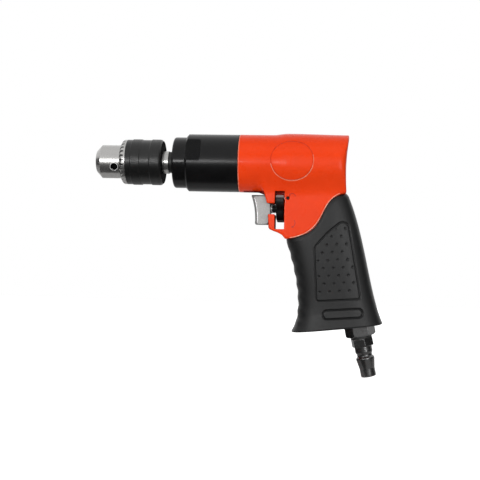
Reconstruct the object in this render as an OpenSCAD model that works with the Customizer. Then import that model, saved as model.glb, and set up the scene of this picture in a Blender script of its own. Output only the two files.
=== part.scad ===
// Pistol-grip air drill with a three-jaw keyed chuck, millimetres.
// X runs back along the spindle from the mouth of the chuck, Z is up, Y is the tool's right.

/* [Chuck] */
// Largest shank the jaws take
shank_d = 10; // [8:0.1:10.4]
// Diameter of the bright nose
nose_d = 24.6; // [24:0.1:25.4]
// Length of the nose in front of the sleeve
nose_len = 18.2; // [17:0.1:21]
// Length of the bevel round the nose's front
nose_bevel = 3.8; // [2:0.1:4.4]
// Diameter of the knurled sleeve
sleeve_d = 34; // [33.6:0.1:38]
// Length of the sleeve with its tooth ring
sleeve_len = 31.3; // [30:0.1:36]
// Length of the bevelled tooth ring
tooth_ring_len = 5.3; // [4.6:0.1:7]
// Number of bevel teeth
tooth_count = 30; // [24:1:36]
// Depth of the space between two bevel teeth
tooth_depth = 1.3; // [0.8:0.1:1.4]
// Number of knurl flutes on the sleeve
knurl_count = 60; // [36:1:72]
// Depth of a knurl flute
knurl_depth = 0.35; // [0.2:0.05:0.5]
// Diameter of a jaw rod
jaw_d = 5.6; // [5.2:0.1:6]
// Slope of the jaws to the axis
jaw_angle = 15; // [14:0.5:16]
// Length of a jaw along the axis
jaw_len = 36.5; // [34:0.1:38]
// Distance of the open jaws behind the mouth
jaw_recess = 5; // [4:0.1:7]
// Length of the split nut
nut_len = 8; // [7:0.1:9]
// Diameter of a key hole
key_hole_d = 5.5; // [4:0.1:6.5]
// Distance of the key holes behind the mouth
key_hole_x = 14.4; // [13:0.1:15]
// Diameter of the chuck's rear hub
hub_d = 16.8; // [15:0.1:20]
// Length of the hub behind the sleeve
hub_len = 4.9; // [3:0.1:7]

/* [Spindle] */
// Diameter of the spindle's thread
thread_d = 9.5; // [8.5:0.1:11]
// Length of thread inside the chuck
thread_len = 14; // [11:0.1:15]
// Diameter of the locking screw
lock_screw_d = 5; // [4:0.1:5.5]
// Diameter of the collar behind the chuck
collar_d = 17.8; // [16:0.1:20]
// Length of the collar
collar_len = 3.2; // [2:0.1:5]
// Width across the collar's two flats
collar_flats = 15; // [14:0.1:15.6]

/* [Bearings] */
// Bore of the spindle bearings
spindle_d = 12; // [11:0.1:13]
// Outside of the spindle bearings
spindle_bearing_od = 28; // [27:0.1:29]
// Width of the spindle bearings
spindle_bearing_w = 8; // [7:0.1:9]
// Distance between the two spindle bearings
bearing_spacing = 7; // [4:0.1:9]
// Bore of the front rotor bearing
front_bearing_id = 8; // [7.6:0.1:9]
// Outside of the front rotor bearing
front_bearing_od = 22; // [21:0.1:24]
// Width of the front rotor bearing
front_bearing_w = 7; // [6:0.1:8]
// Bore of the rear rotor bearing
rear_bearing_id = 6; // [5:0.1:7]
// Outside of the rear rotor bearing
rear_bearing_od = 19; // [18:0.1:20]
// Width of the rear rotor bearing
rear_bearing_w = 6; // [5:0.1:6.5]
// Balls in each bearing
ball_count = 7; // [6:1:8]

/* [Gears] */
// Gear module
gear_module = 0.6; // [0.55:0.01:0.62]
// Teeth of the sun pinion
sun_teeth = 12; // [12:3:15]
// Teeth of a planet gear
planet_teeth = 18; // [15:3:18]
// Width of the gears
gear_w = 8; // [6:0.1:10]
// Diameter of a planet pin
pin_d = 4; // [3:0.1:4.2]
// Thickness of the carrier flange
carrier_t = 4.5; // [3.5:0.1:6]
// Thickness of the rear carrier plate
plate_t = 3; // [2:0.1:4]

/* [Gear case] */
// Diameter of the gear case
case_d = 42.3; // [41:0.1:44]
// Diameter of the gear case's nose
nose_case_d = 37.6; // [36.4:0.1:39]
// Length of the gear case's nose
nose_case_len = 9.7; // [8:0.1:12]
// Visible length of the gear case
case_len = 48.4; // [46:0.1:52]
// Thickness of the lip in front of the bearings
case_lip = 2.7; // [2:0.1:4]
// Length of the spanner flats
flat_len = 11.4; // [8:0.1:13]
// Width across the spanner flats
flat_af = 38.6; // [38:0.1:40]
// Angle of the spanner flats above the sides
flat_tilt = 25.5; // [0:0.5:40]
// Length of the spigot inside the housing
spigot_len = 10; // [7:0.1:12]

/* [Air motor] */
// Diameter of the rotor
rotor_d = 25; // [24:0.1:25.4]
// Length of the cylinder
cylinder_len = 42; // [38:0.1:44]
// Offset of the cylinder bore below the rotor
eccentricity = 1.2; // [0.8:0.05:1.5]
// Number of vanes
vane_count = 5; // [4:1:6]
// Thickness of a vane
vane_t = 2; // [1.5:0.1:2.4]
// Depth of a vane slot
vane_depth = 6.2; // [5:0.1:6.8]
// Thickness of the front end plate
front_plate_t = 9; // [8.6:0.1:11]
// Thickness of the rear end plate
rear_plate_t = 9; // [8:0.1:10]
// Thickness of the rear gasket
gasket_t = 1.5; // [1:0.1:2]
// Diameter of the dowel through the stack
dowel_d = 2.4; // [1.8:0.1:2.6]

/* [Housing] */
// Diameter of the barrel at the seam
barrel_d = 42.5; // [41:0.1:44]
// Height of the rise over the motor
barrel_rise = 1.1; // [0.3:0.05:1.5]
// Bore for the motor stack
motor_bore_d = 35; // [34.8:0.1:35.8]
// Wall behind the motor
rear_wall = 5.8; // [4.4:0.1:8]
// Radius of the concave back
saddle_r = 130; // [90:1:200]
// Radius of the rear corners seen from above
rear_corner_r = 8; // [5:0.1:10]
// Width of the badge ring
badge_d = 32; // [26:0.1:34]
// Width of the badge ring's groove
badge_groove = 1.6; // [1:0.1:2.4]
// Depth of the badge ring's groove
badge_depth = 0.4; // [0.2:0.05:0.7]

/* [Handle] */
// Width of the red upper handle
handle_w = 29; // [28:0.1:32]
// Fillet between handle and barrel
handle_fillet = 6; // [3:0.1:7]
// Width of the grip at its waist
grip_w = 32.4; // [31:0.1:35]
// Extra width of the grip's foot
grip_flare = 2; // [0:0.1:4]
// Rubber thickness at front and back
grip_wall = 3.2; // [2.6:0.1:4]
// Width of the handle core
core_w = 25.6; // [25:0.1:26.4]
// Width of the groove round the grip's panel
panel_groove = 1.4; // [0.8:0.1:2]
// Depth of the groove round the grip's panel
panel_depth = 0.7; // [0.4:0.05:1]

/* [Trigger and valve] */
// Height of the valve's axis below the spindle
valve_drop = 33; // [32:0.1:34]
// Outside of the valve bushing
bushing_d = 15; // [14.6:0.1:15.4]
// Length of the valve bushing
bushing_len = 19.6; // [18:0.1:22]
// Outside of the reverse valve
reverse_valve_d = 10; // [9.4:0.1:10.4]
// Diameter of the throttle stem
stem_d = 4; // [3.4:0.1:4.6]
// Width of the trigger
trigger_w = 16; // [14:0.1:17]
// Height of the trigger
trigger_h = 21.5; // [19:0.1:22]
// Depth of the hollow in the trigger's front
trigger_hollow = 1.6; // [0.8:0.1:2.4]
// Travel of the trigger
trigger_travel = 4; // [3:0.1:4.2]
// Thickness of the reverse lever
lever_t = 5.2; // [4.4:0.1:5.4]
// Height of the reverse lever's bar
lever_h = 8; // [6:0.1:9]
// Length of the reverse lever from tip to tip
lever_len = 38; // [34:0.1:42]
// Angle of the reverse lever at rest
lever_angle = 22; // [15:1:25]
// Diameter of the reverse lever's hub
lever_hub_d = 16.8; // [14:0.1:18]
// Width of the lever slot
slot_w = 6.9; // [6.4:0.1:7.4]
// Diameter of the retaining pin
cross_pin_d = 2.4; // [2:0.1:2.8]
// Wire of the throttle spring
spring_wire = 0.9; // [0.7:0.05:1.1]
// Curls of the throttle spring
spring_turns = 5; // [4:0.5:6]

/* [Air inlet] */
// Tilt of the inlet
inlet_tilt = 12; // [6:0.5:13]
// Width across flats of the inlet bushing
inlet_af = 19; // [17:0.1:21]
// Height of the inlet bushing's hexagon
inlet_hex_h = 8.6; // [6:0.1:10]
// Thickness of the sealing washer
washer_t = 1.5; // [1:0.1:2]
// Width across flats of the air plug
plug_af = 14.2; // [13:0.1:16]
// Height of the air plug's hexagon
plug_hex_h = 6; // [5:0.1:8]
// Largest diameter of the plug's barrel
plug_barrel_d = 13.4; // [12:0.1:14]
// Diameter of the plug's catch groove
plug_groove_d = 11; // [9:0.1:11.6]
// Diameter of the plug's tip
plug_tip_d = 11; // [9:0.1:12]
// Bore of the air plug
plug_bore = 7; // [5:0.1:7.4]
// Length of the plug below its hexagon
plug_len = 22.4; // [18:0.1:26]
// Turn of the plug's hexagon against the inlet bushing's
plug_turn = 20; // [0:1:60]

/* [Exhaust] */
// Width of the exhaust pocket
exhaust_w = 16; // [12:0.1:18]
// Length of the exhaust pocket
exhaust_len = 22; // [18:0.1:24]
// Thickness of the exhaust diffuser
diffuser_t = 2.5; // [2:0.1:4]
// Diameter of the diffuser's screw
diffuser_screw_d = 3; // [2.5:0.1:3.5]

/* [Fits] */
// Radial gap of fixed fits
seat_gap = 0.05; // [0.03:0.01:0.08]
// Radial gap of turning and sliding fits
run_gap = 0.1; // [0.06:0.01:0.15]
// Gap between faces that pass one another
face_gap = 0.4; // [0.3:0.05:0.6]
// Half of the play between gear teeth
backlash = 0.05; // [0.03:0.01:0.08]

/* [Hidden] */
$fn = 48;

mouth_r = shank_d / 2 + 0.2;
nose_r = nose_d / 2;
sleeve_r = sleeve_d / 2;
jaw_r = jaw_d / 2;
jaw_slope = tan(jaw_angle);
jaw_axis_r = mouth_r;
jaw_edge_w = 1.2;
first_jaw = 22;
first_key_hole = 82;
sleeve_bore_r = sleeve_r - 1.4;
x_nut = nose_len + 1.8;
x_nut_end = x_nut + nut_len;
x_sleeve_end = nose_len + sleeve_len;
x_hub_end = x_sleeve_end + hub_len;
x_thread = x_hub_end - thread_len;
screw_head_h = 3;
screw_head_r = lock_screw_d / 2 + 1.4;
x_screw = x_thread - 2.2 - screw_head_h;
key_hole_floor = mouth_r + jaw_r;

x_collar_end = x_hub_end + collar_len;
x_case = x_collar_end + face_gap;
x_bearing_a = x_case + case_lip;
x_spacer = x_bearing_a + spindle_bearing_w;
x_bearing_b = x_spacer + bearing_spacing;
x_carrier = x_bearing_b + spindle_bearing_w + 0.5;
x_ring = x_carrier + carrier_t;
x_gears = x_ring + face_gap;
x_plate = x_gears + gear_w + face_gap;
x_plate_end = x_plate + plate_t;
x_seam = x_case + case_len;
x_spigot_end = x_seam + spigot_len;
x_front_plate = x_spigot_end + 0.3;
x_cylinder = x_front_plate + front_plate_t;
x_rear_plate = x_cylinder + cylinder_len;
x_rear_bearing = x_rear_plate + rear_plate_t - rear_bearing_w;
x_gasket = x_rear_plate + rear_plate_t;
x_motor_end = x_gasket + gasket_t;
x_back = x_motor_end + rear_wall;
x_crest = x_back + 2.6;

sun_r = gear_module * sun_teeth / 2;
planet_r = gear_module * planet_teeth / 2;
ring_teeth = sun_teeth + 2 * planet_teeth;
ring_r = gear_module * ring_teeth / 2;
centre_r = sun_r + planet_r;
addendum = 0.85 * gear_module;
dedendum = 1.1 * gear_module;
planet_angles = [90, 210, 330];
pin_r = pin_d / 2;
carrier_r = centre_r + pin_r + 2.4;
ring_outer_r = ring_r + dedendum + 1.94;
spigot_r = ring_outer_r + 1.8;

motor_r = motor_bore_d / 2;
rotor_r = rotor_d / 2;
rotor_air_gap = 0.2;
cylinder_bore_r = rotor_r + eccentricity + rotor_air_gap;
dowel_z = (rotor_r + rotor_air_gap + motor_r) / 2;
shaft_front_r = front_bearing_id / 2;
shaft_rear_r = rear_bearing_id / 2;
x_rotor = x_cylinder + 0.15;
x_rotor_end = x_rear_plate - 0.15;
x_shaft = x_plate_end + 1.3;
shank_r = sun_r - dedendum - 0.4;
shank_len = front_plate_t + 5;

barrel_r = barrel_d / 2;
rise_r = barrel_r + barrel_rise;
hx = x_back - 43.6;
valve_z = -valve_drop;
bushing_r = bushing_d / 2;
handle_half = handle_w / 2;
handle_drop = 70;
x_slot = hx - slot_w;
x_lever = x_slot + (slot_w - lever_t) / 2;
slot_top = -20.6;
slot_bottom = -48;
slot_web = 9;
channel_half = trigger_w / 2 + face_gap;
trigger_gap = 2.15;
trigger_top = -barrel_r - trigger_gap;
x_trigger_back = x_lever - trigger_travel - face_gap;
x_bushing = hx + 0.3;
x_poppet = x_bushing + bushing_len + 0.1;
poppet_r = 4.4;
poppet_t = 2.4;
chamber_r = 5.8;
spring_len = 12;
x_spring = x_poppet + poppet_t;
x_chamber_end = x_spring + spring_len + 0.1;
x_cross_pin = hx + 2.4;
cross_pin_z = valve_z + bushing_r;
washer_r = 3.4;
washer_len = 1.1;

seam_curve = [[45.3, -20.5], [21.1, -24.5], [35.4, -51.5], [1, -55]];
grip_back = [[45.3, -20.5], [59.1, -50], [62.2, -92], [73, -115.2]];
grip_front = [[1, -55], [8.5, -75], [16.8, -108], [6.3, -123]];
grip_gap = 0.1;
grip_sections = even(-0.1, 1, 13);
core_sections = even(-0.1, 0.992, 8);
foot = bezier(grip_front, 1);
foot_end = bezier(grip_back, 1);
foot_slope = (foot_end[1] - foot[1]) / (foot_end[0] - foot[0]);
inlet_x = 55.9;
inlet_sink = 0.9;
inlet_z = foot[1] + (inlet_x - foot[0]) * foot_slope + inlet_sink;
inlet_thread_r = inlet_af / 2 - 1.6;
inlet_thread_len = 13;
plug_thread_r = 6.4;
plug_thread_len = 9;
screen_r = plug_thread_r - 0.6;
passage_r = 4.6;
exhaust_x = 32.8;
exhaust_z = foot[1] + (exhaust_x - foot[0]) * foot_slope;
exhaust_depth = 54;
exhaust_side = 11.4;
gallery_x = 3;
gallery_len = 25;
gallery_in = 4.8;
gallery_z = -21.4;
gallery_h = 9;
way_x = 18;
way_len = 10;
way_in = bushing_r + 1.2;
way_z = -68;
chamber_h = 8;
x_port = hx + 8.3;
exhaust_rib = 6.4;
grip_panel = [[23.6, -100], [56.7, -97.5], [47, -42.8], [41.1, -40.8], [31, -49.1], [21.4, -60.3]];
foot_panel = [[28.4, -112.9], [58.3, -110.5], [58.3, -102.8], [28.4, -105.2]];

function bezier(p, t) = pow(1 - t, 3) * p[0] + 3 * pow(1 - t, 2) * t * p[1]
    + 3 * (1 - t) * t * t * p[2] + pow(t, 3) * p[3];
function bezier_points(p, n) = [for (i = [0:n]) bezier(p, i / n)];
function arc(c, r, a, b, n) = [for (i = [0:n]) c + r * [cos(a + (b - a) * i / n), sin(a + (b - a) * i / n)]];
function shifted(points, d) = [for (p = points) p + d];
function unit(v) = v / norm(v);
function even(first, last, n) = [for (i = [0:n]) first + (last - first) * i / n];

// A convex outline drawn in by w, and one with its corners rounded over the length d
function drawn_in(points, w) = let (n = len(points)) [
    for (k = [0:n - 1]) let (
        u = unit(points[(k + n - 1) % n] - points[k]),
        v = unit(points[(k + 1) % n] - points[k])
    ) points[k] + unit(u + v) * w / sqrt((1 - u * v) / 2)
];
function rounded(points, d, steps) = let (n = len(points)) [
    for (k = [0:n - 1], i = [0:steps]) let (
        q = points[k],
        a = q + d * unit(points[(k + n - 1) % n] - q),
        b = q + d * unit(points[(k + 1) % n] - q),
        t = i / steps
    ) pow(1 - t, 2) * a + 2 * t * (1 - t) * q + t * t * b
];

// Half angle of an involute tooth at radius r
function inv_deg(a) = tan(a) * 180 / PI - a;
function tooth_half(r, base, teeth, play) = 90 / teeth + play * 180 / PI / (base / cos(20))
    + inv_deg(20) - inv_deg(acos(min(1, base / r)));
function gear_points(teeth, root, tip, play, n = 4) = let (
    base = gear_module * teeth / 2 * cos(20),
    low = max(root, base + 0.01)
) [
    for (k = [0:teeth - 1], s = [-1, 1], i = [0:n + 1]) let (
        j = s < 0 ? i : n + 1 - i,
        r = j == 0 ? root : low + (tip - low) * (j - 1) / n,
        a = k * 360 / teeth + s * tooth_half(max(r, low), base, teeth, play)
    ) r * [cos(a), sin(a)]
];
function planet_phase(a) = a + 180 - (0.5 - a * sun_teeth / 360) * 360 / planet_teeth;
ring_phase = planet_angles[0]
    - (planet_angles[0] - planet_phase(planet_angles[0])) * planet_teeth / ring_teeth;

// Revolves a list of [radius, x] about the spindle
module turned(profile) {
    rotate([0, 90, 0])
        rotate_extrude()
            polygon(profile);
}

module rod_x(x, len, r) {
    translate([x, 0, 0])
        rotate([0, 90, 0])
            cylinder(h = len, r = r);
}

module ring_x(x, len, r_out, r_in) {
    turned([[r_in, x], [r_out, x], [r_out, x + len], [r_in, x + len]]);
}

module rod_y(y, len, r) {
    translate([0, y, 0])
        rotate([-90, 0, 0])
            cylinder(h = len, r = r);
}

// Extrudes an outline drawn in X and Z, centred on the tool's middle plane
module side(width) {
    rotate([90, 0, 0])
        linear_extrude(height = width, center = true)
            children();
}

// Extrudes an outline drawn in Y and Z along X
module along_x(x, len) {
    translate([x, 0, 0])
        rotate([90, 0, 90])
            linear_extrude(height = len)
                children();
}

module around(count, first) {
    for (i = [0:count - 1])
        rotate([first + i * 360 / count, 0, 0])
            children();
}

module on_valve() {
    translate([0, 0, valve_z])
        children();
}

module on_handle() {
    translate([hx, 0, 0])
        children();
}

// Local Z leaves the handle through its foot along the air plug
module on_inlet() {
    translate([hx + inlet_x, 0, inlet_z])
        rotate([0, 180 - inlet_tilt, 0])
            children();
}

module hexagon(af) {
    circle(r = af / sqrt(3), $fn = 6);
}

// Chuck

// Rod along the sloped axis of one jaw, with y as the radial direction
module jaw_rod(x0, x1, r) {
    translate([jaw_recess, jaw_axis_r, 0])
        rotate([0, 0, jaw_angle])
            rod_x((x0 - jaw_recess) / cos(jaw_angle), (x1 - x0) / cos(jaw_angle), r);
}

module chuck_body() {
    neck_r = nose_r - 1.8;
    rear_r = sleeve_bore_r - 0.2;
    difference() {
        turned([
            [0, 0], [nose_r - nose_bevel - 0.3, 0], [nose_r, nose_bevel], [nose_r, x_nut - 0.6],
            [neck_r, x_nut - 0.6], [neck_r, x_nut_end + 0.3], [rear_r, x_nut_end + 0.3],
            [rear_r, x_sleeve_end - 1.2], [rear_r - 1, x_sleeve_end - 0.3],
            [hub_d / 2, x_sleeve_end - 0.3], [hub_d / 2, x_hub_end - 0.5],
            [hub_d / 2 - 0.5, x_hub_end], [0, x_hub_end]
        ]);
        rod_x(-1, x_screw + 1, mouth_r);
        rod_x(x_screw - 1, screw_head_h + 1, screw_head_r + run_gap);
        rod_x(x_screw, x_hub_end, lock_screw_d / 2 + run_gap);
        rod_x(x_thread - 0.3, x_hub_end, thread_d / 2 + seat_gap);
        around(3, first_jaw)
            jaw_rod(-8, x_sleeve_end + 12, jaw_r + run_gap);
        around(3, first_key_hole)
            translate([key_hole_x, 0, 0])
                rod_y(key_hole_floor, nose_r, key_hole_d / 2);
    }
}

module chuck_sleeve() {
    tooth_r = sleeve_r - 0.3;
    x_teeth = nose_len + tooth_ring_len;
    face_r = tooth_r - 1.8;
    difference() {
        turned([
            [nose_r + 0.2, nose_len], [face_r, nose_len], [tooth_r, nose_len + 3.4], [tooth_r, x_teeth],
            [sleeve_r - 0.5, x_teeth], [sleeve_r - 0.5, x_teeth + 4],
            [sleeve_r, x_teeth + 4.4], [sleeve_r, x_teeth + 9.6],
            [sleeve_r - 0.6, x_teeth + 10.2], [sleeve_r - 0.6, x_sleeve_end - 8.4],
            [sleeve_r, x_sleeve_end - 7.8], [sleeve_r, x_sleeve_end - 1.9],
            [sleeve_r - 0.7, x_sleeve_end - 0.6], [sleeve_r - 1, x_sleeve_end],
            [sleeve_bore_r, x_sleeve_end], [sleeve_bore_r, x_nut - 0.05], [nose_r + 0.2, x_nut - 0.05]
        ]);
        // Bevel tooth spaces, parallel to the cone
        around(tooth_count, 0)
            translate([nose_len - 0.4, face_r + 0.5, 0])
                rotate([0, 0, atan(1.8 / 3.4)])
                    along_x(-1, 9)
                        polygon([[-tooth_depth, -0.2], [1.2, -1.5], [1.2, 1.5], [-tooth_depth, 0.2]]);
        // Knurl flutes, open at both ends of two bands
        for (x = [x_teeth + 3.7, x_sleeve_end - 8.2])
            around(knurl_count, 0)
                along_x(x, 7.6)
                    polygon([[sleeve_r - knurl_depth, 0], [sleeve_r + 0.4, -0.7], [sleeve_r + 0.4, 0.7]]);
    }
}

// Two halves round the jaws, pressed into the sleeve
module chuck_nut() {
    inner = jaw_axis_r + (x_nut - jaw_recess) * jaw_slope + jaw_r / cos(jaw_angle) + 0.3;
    inner_end = inner + nut_len * jaw_slope;
    difference() {
        turned([
            [inner, x_nut], [sleeve_bore_r - seat_gap, x_nut], [sleeve_bore_r - seat_gap, x_nut_end],
            [inner_end, x_nut_end]
        ]);
        translate([x_nut - 1, -sleeve_r, -0.15])
            cube([nut_len + 2, sleeve_d, 0.3]);
    }
}

module chuck_jaw(i) {
    grip_r = mouth_r + 0.05;
    rotate([first_jaw + i * 120, 0, 0])
        intersection() {
            jaw_rod(jaw_recess - 2, jaw_recess + jaw_len + 4, jaw_r);
            // Three-sided gripping edge that lets the jaws close to a point
            along_x(jaw_recess, jaw_len)
                polygon([
                    [grip_r, -jaw_edge_w / 2], [grip_r + 8, -jaw_edge_w / 2 - 8 * tan(60)],
                    [30, -20], [30, 20],
                    [grip_r + 8, jaw_edge_w / 2 + 8 * tan(60)], [grip_r, jaw_edge_w / 2]
                ]);
            rod_x(-5, x_sleeve_end + 5, sleeve_bore_r - 0.4);
        }
}

module chuck_screw() {
    r = lock_screw_d / 2;
    difference() {
        turned([
            [0, x_screw], [screw_head_r, x_screw], [screw_head_r, x_screw + screw_head_h],
            [r, x_screw + screw_head_h],
            [r, x_thread + 8], [0, x_thread + 8]
        ]);
        along_x(x_screw - 1, 3)
            hexagon(3);
    }
}

// Spindle

module spindle() {
    r = spindle_d / 2;
    difference() {
        union() {
            turned([
                [0, x_thread], [thread_d / 2 - 0.6, x_thread], [thread_d / 2, x_thread + 0.6],
                [thread_d / 2, x_hub_end], [0, x_hub_end]
            ]);
            intersection() {
                rod_x(x_hub_end, collar_len, collar_d / 2);
                along_x(x_hub_end - 1, collar_len + 2)
                    square([collar_d + 2, collar_flats], center = true);
            }
            turned([
                [0, x_collar_end], [r + 1.4, x_collar_end], [r + 1.4, x_bearing_a], [r, x_bearing_a],
                [r, x_carrier - 0.5], [r + 1.4, x_carrier - 0.5], [r + 1.4, x_carrier], [carrier_r, x_carrier],
                [carrier_r, x_ring], [0, x_ring]
            ]);
        }
        rod_x(x_thread - 1, 12, lock_screw_d / 2 + seat_gap);
        planet_pin_holes(x_carrier - 0.2, carrier_t + 1);
    }
}

module planet_pin_holes(x, len) {
    for (a = planet_angles)
        rotate([a, 0, 0])
            translate([0, centre_r, 0])
                rod_x(x, len, pin_r + seat_gap);
}

module spindle_seal() {
    ring_x(x_case + 0.3, case_lip - 0.6, seal_r() - seat_gap, spindle_d / 2 + 1.4 + run_gap);
}

function seal_r() = spindle_d / 2 + 4.2;

// Bearings

function race_pitch(id, od) = (id + od) / 4;
function ball_r(id, od) = 0.15 * (od - id);

module ball_ring(x, w, id, od, r) {
    translate([x + w / 2, 0, 0])
        rotate([0, 90, 0])
            rotate_extrude()
                translate([race_pitch(id, od), 0])
                    circle(r = r);
}

module bearing_outer(x, w, id, od) {
    p = race_pitch(id, od);
    b = ball_r(id, od);
    difference() {
        ring_x(x, w, od / 2 - seat_gap, p + 0.55 * b);
        ball_ring(x, w, id, od, b + run_gap);
    }
}

module bearing_inner(x, w, id, od) {
    p = race_pitch(id, od);
    b = ball_r(id, od);
    difference() {
        ring_x(x, w, p - 0.55 * b, id / 2 + seat_gap);
        ball_ring(x, w, id, od, b + run_gap);
    }
}

// Balls in a cage
module bearing_balls(x, w, id, od) {
    p = race_pitch(id, od);
    b = ball_r(id, od);
    translate([x + w / 2, 0, 0])
        around(ball_count, 0)
            translate([0, p, 0])
                sphere(r = b);
    difference() {
        ring_x(x + w / 2 - b - 0.7, 2 * b + 1.4, p + 0.3 * b, p - 0.3 * b);
        translate([x + w / 2, 0, 0])
            around(ball_count, 0)
                rod_y(p - b, 2 * b, b + run_gap);
    }
}

module front_bearing_outer() {
    bearing_outer(x_bearing_a, spindle_bearing_w, spindle_d, spindle_bearing_od);
}

module front_bearing_inner() {
    bearing_inner(x_bearing_a, spindle_bearing_w, spindle_d, spindle_bearing_od);
}

module front_bearing_balls() {
    bearing_balls(x_bearing_a, spindle_bearing_w, spindle_d, spindle_bearing_od);
}

module mid_bearing_outer() {
    bearing_outer(x_bearing_b, spindle_bearing_w, spindle_d, spindle_bearing_od);
}

module mid_bearing_inner() {
    bearing_inner(x_bearing_b, spindle_bearing_w, spindle_d, spindle_bearing_od);
}

module mid_bearing_balls() {
    bearing_balls(x_bearing_b, spindle_bearing_w, spindle_d, spindle_bearing_od);
}

module bearing_spacer() {
    ring_x(x_spacer, bearing_spacing, spindle_bearing_od / 2 - seat_gap, spindle_bearing_od / 2 - 2);
}

module rotor_bearing_outer() {
    bearing_outer(x_front_plate, front_bearing_w, front_bearing_id, front_bearing_od);
}

module rotor_bearing_inner() {
    bearing_inner(x_front_plate, front_bearing_w, front_bearing_id, front_bearing_od);
}

module rotor_bearing_balls() {
    bearing_balls(x_front_plate, front_bearing_w, front_bearing_id, front_bearing_od);
}

module rear_bearing_outer() {
    bearing_outer(x_rear_bearing, rear_bearing_w, rear_bearing_id, rear_bearing_od);
}

module rear_bearing_inner() {
    bearing_inner(x_rear_bearing, rear_bearing_w, rear_bearing_id, rear_bearing_od);
}

module rear_bearing_balls() {
    bearing_balls(x_rear_bearing, rear_bearing_w, rear_bearing_id, rear_bearing_od);
}

// Planetary gears

module planet_pins() {
    for (a = planet_angles)
        rotate([a, 0, 0])
            translate([0, centre_r, 0])
                rod_x(x_carrier + 0.2, x_plate_end - x_carrier - 0.4, pin_r);
}

module planet_gear(i) {
    a = planet_angles[i];
    rotate([a, 0, 0])
        translate([0, centre_r, 0])
            rotate([-a, 0, 0])
                difference() {
                    along_x(x_gears, gear_w)
                        rotate(planet_phase(a))
                            polygon(gear_points(planet_teeth, planet_r - dedendum, planet_r + addendum, -backlash));
                    rod_x(x_gears - 1, gear_w + 2, pin_r + run_gap);
                }
}

module carrier_plate() {
    difference() {
        ring_x(x_plate, plate_t, carrier_r, sun_r + addendum + 1);
        planet_pin_holes(x_plate - 1, plate_t + 2);
    }
}

module ring_gear() {
    along_x(x_ring, x_plate - x_ring)
        difference() {
            circle(r = ring_outer_r - seat_gap);
            rotate(ring_phase)
                polygon(gear_points(ring_teeth, ring_r - addendum, ring_r + dedendum, backlash, 3));
        }
}

module clamp_spacer() {
    ring_x(x_plate, x_front_plate - x_plate, ring_outer_r - seat_gap, carrier_r + 1);
}

module sun_pinion() {
    along_x(x_gears, x_shaft - x_gears - 0.3)
        polygon(gear_points(sun_teeth, sun_r - dedendum, sun_r + addendum, -backlash));
    rod_x(x_shaft - 0.4, shank_len, shank_r);
}

// Spanner flat seen square on, with the corners that its cutter leaves
module flat_outline() {
    r = 3;
    half = sqrt(pow(case_d, 2) - pow(flat_af, 2)) / 2 + 0.5;
    translate([-1, -half])
        square([flat_len - r + 1, 2 * half]);
    translate([-1, -half + r])
        square([flat_len + 1, 2 * (half - r)]);
    for (s = [-1, 1])
        translate([flat_len - r, s * (half - r)])
            circle(r = r);
}

module gear_case() {
    bore_r = spindle_bearing_od / 2;
    fr = 1.6;
    difference() {
        turned(concat(
            [[seal_r(), x_case]],
            arc([nose_case_d / 2 - fr, x_case + fr], fr, -90, 0, 5),
            [
                [nose_case_d / 2, x_case + nose_case_len], [case_d / 2 - 1.4, x_case + nose_case_len],
                [case_d / 2, x_case + nose_case_len + 1.4], [case_d / 2, x_seam - 0.3],
                [case_d / 2 - 0.3, x_seam], [spigot_r, x_seam], [spigot_r, x_spigot_end],
                [ring_outer_r, x_spigot_end], [ring_outer_r, x_ring], [carrier_r + 0.8, x_ring],
                [carrier_r + 0.8, x_bearing_b + spindle_bearing_w],
                [bore_r, x_bearing_b + spindle_bearing_w], [bore_r, x_bearing_a], [seal_r(), x_bearing_a]
            ]
        ));
        // Spanner flats
        for (a = [180 - flat_tilt, 360 - flat_tilt])
            rotate([a, 0, 0])
                translate([x_case + nose_case_len, flat_af / 2, 0])
                    rotate([-90, 0, 0])
                        linear_extrude(height = case_d)
                            flat_outline();
    }
}

// Air motor

module front_end_plate() {
    difference() {
        rod_x(x_front_plate, front_plate_t, motor_r - seat_gap);
        rod_x(x_front_plate - 1, front_bearing_w + 1, front_bearing_od / 2);
        rod_x(x_front_plate, front_plate_t + 1, shaft_front_r + 0.8);
        dowel_hole();
    }
}

module rear_end_plate() {
    difference() {
        rod_x(x_rear_plate, rear_plate_t, motor_r - seat_gap);
        rod_x(x_rear_bearing, rear_bearing_w + 1, rear_bearing_od / 2);
        rod_x(x_rear_plate - 1, rear_plate_t, shaft_rear_r + 0.8);
        dowel_hole();
    }
}

module dowel_hole() {
    translate([0, 0, dowel_z])
        rod_x(x_front_plate + 3, x_gasket - x_front_plate - 6, dowel_d / 2 + seat_gap);
}

module cylinder_dowel() {
    translate([0, 0, dowel_z])
        rod_x(x_front_plate + 3.2, x_gasket - x_front_plate - 6.4, dowel_d / 2);
}

module motor_cylinder() {
    difference() {
        rod_x(x_cylinder, cylinder_len, motor_r - seat_gap);
        translate([0, 0, -eccentricity])
            rod_x(x_cylinder - 1, cylinder_len + 2, cylinder_bore_r);
        dowel_hole();
        // Air port at the bottom and a row of exhaust ports on either side of it
        translate([x_port, 0, 0])
            rotate([180, 0, 0])
                cylinder(h = motor_r + 1, r = 2.5);
        for (a = [-27, 27], i = [0:4])
            rotate([a, 0, 0])
                translate([hx + 6 + 4.2 * i, 0, 0])
                    rotate([180, 0, 0])
                        cylinder(h = motor_r + 1, r = 1.6);
    }
}

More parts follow.
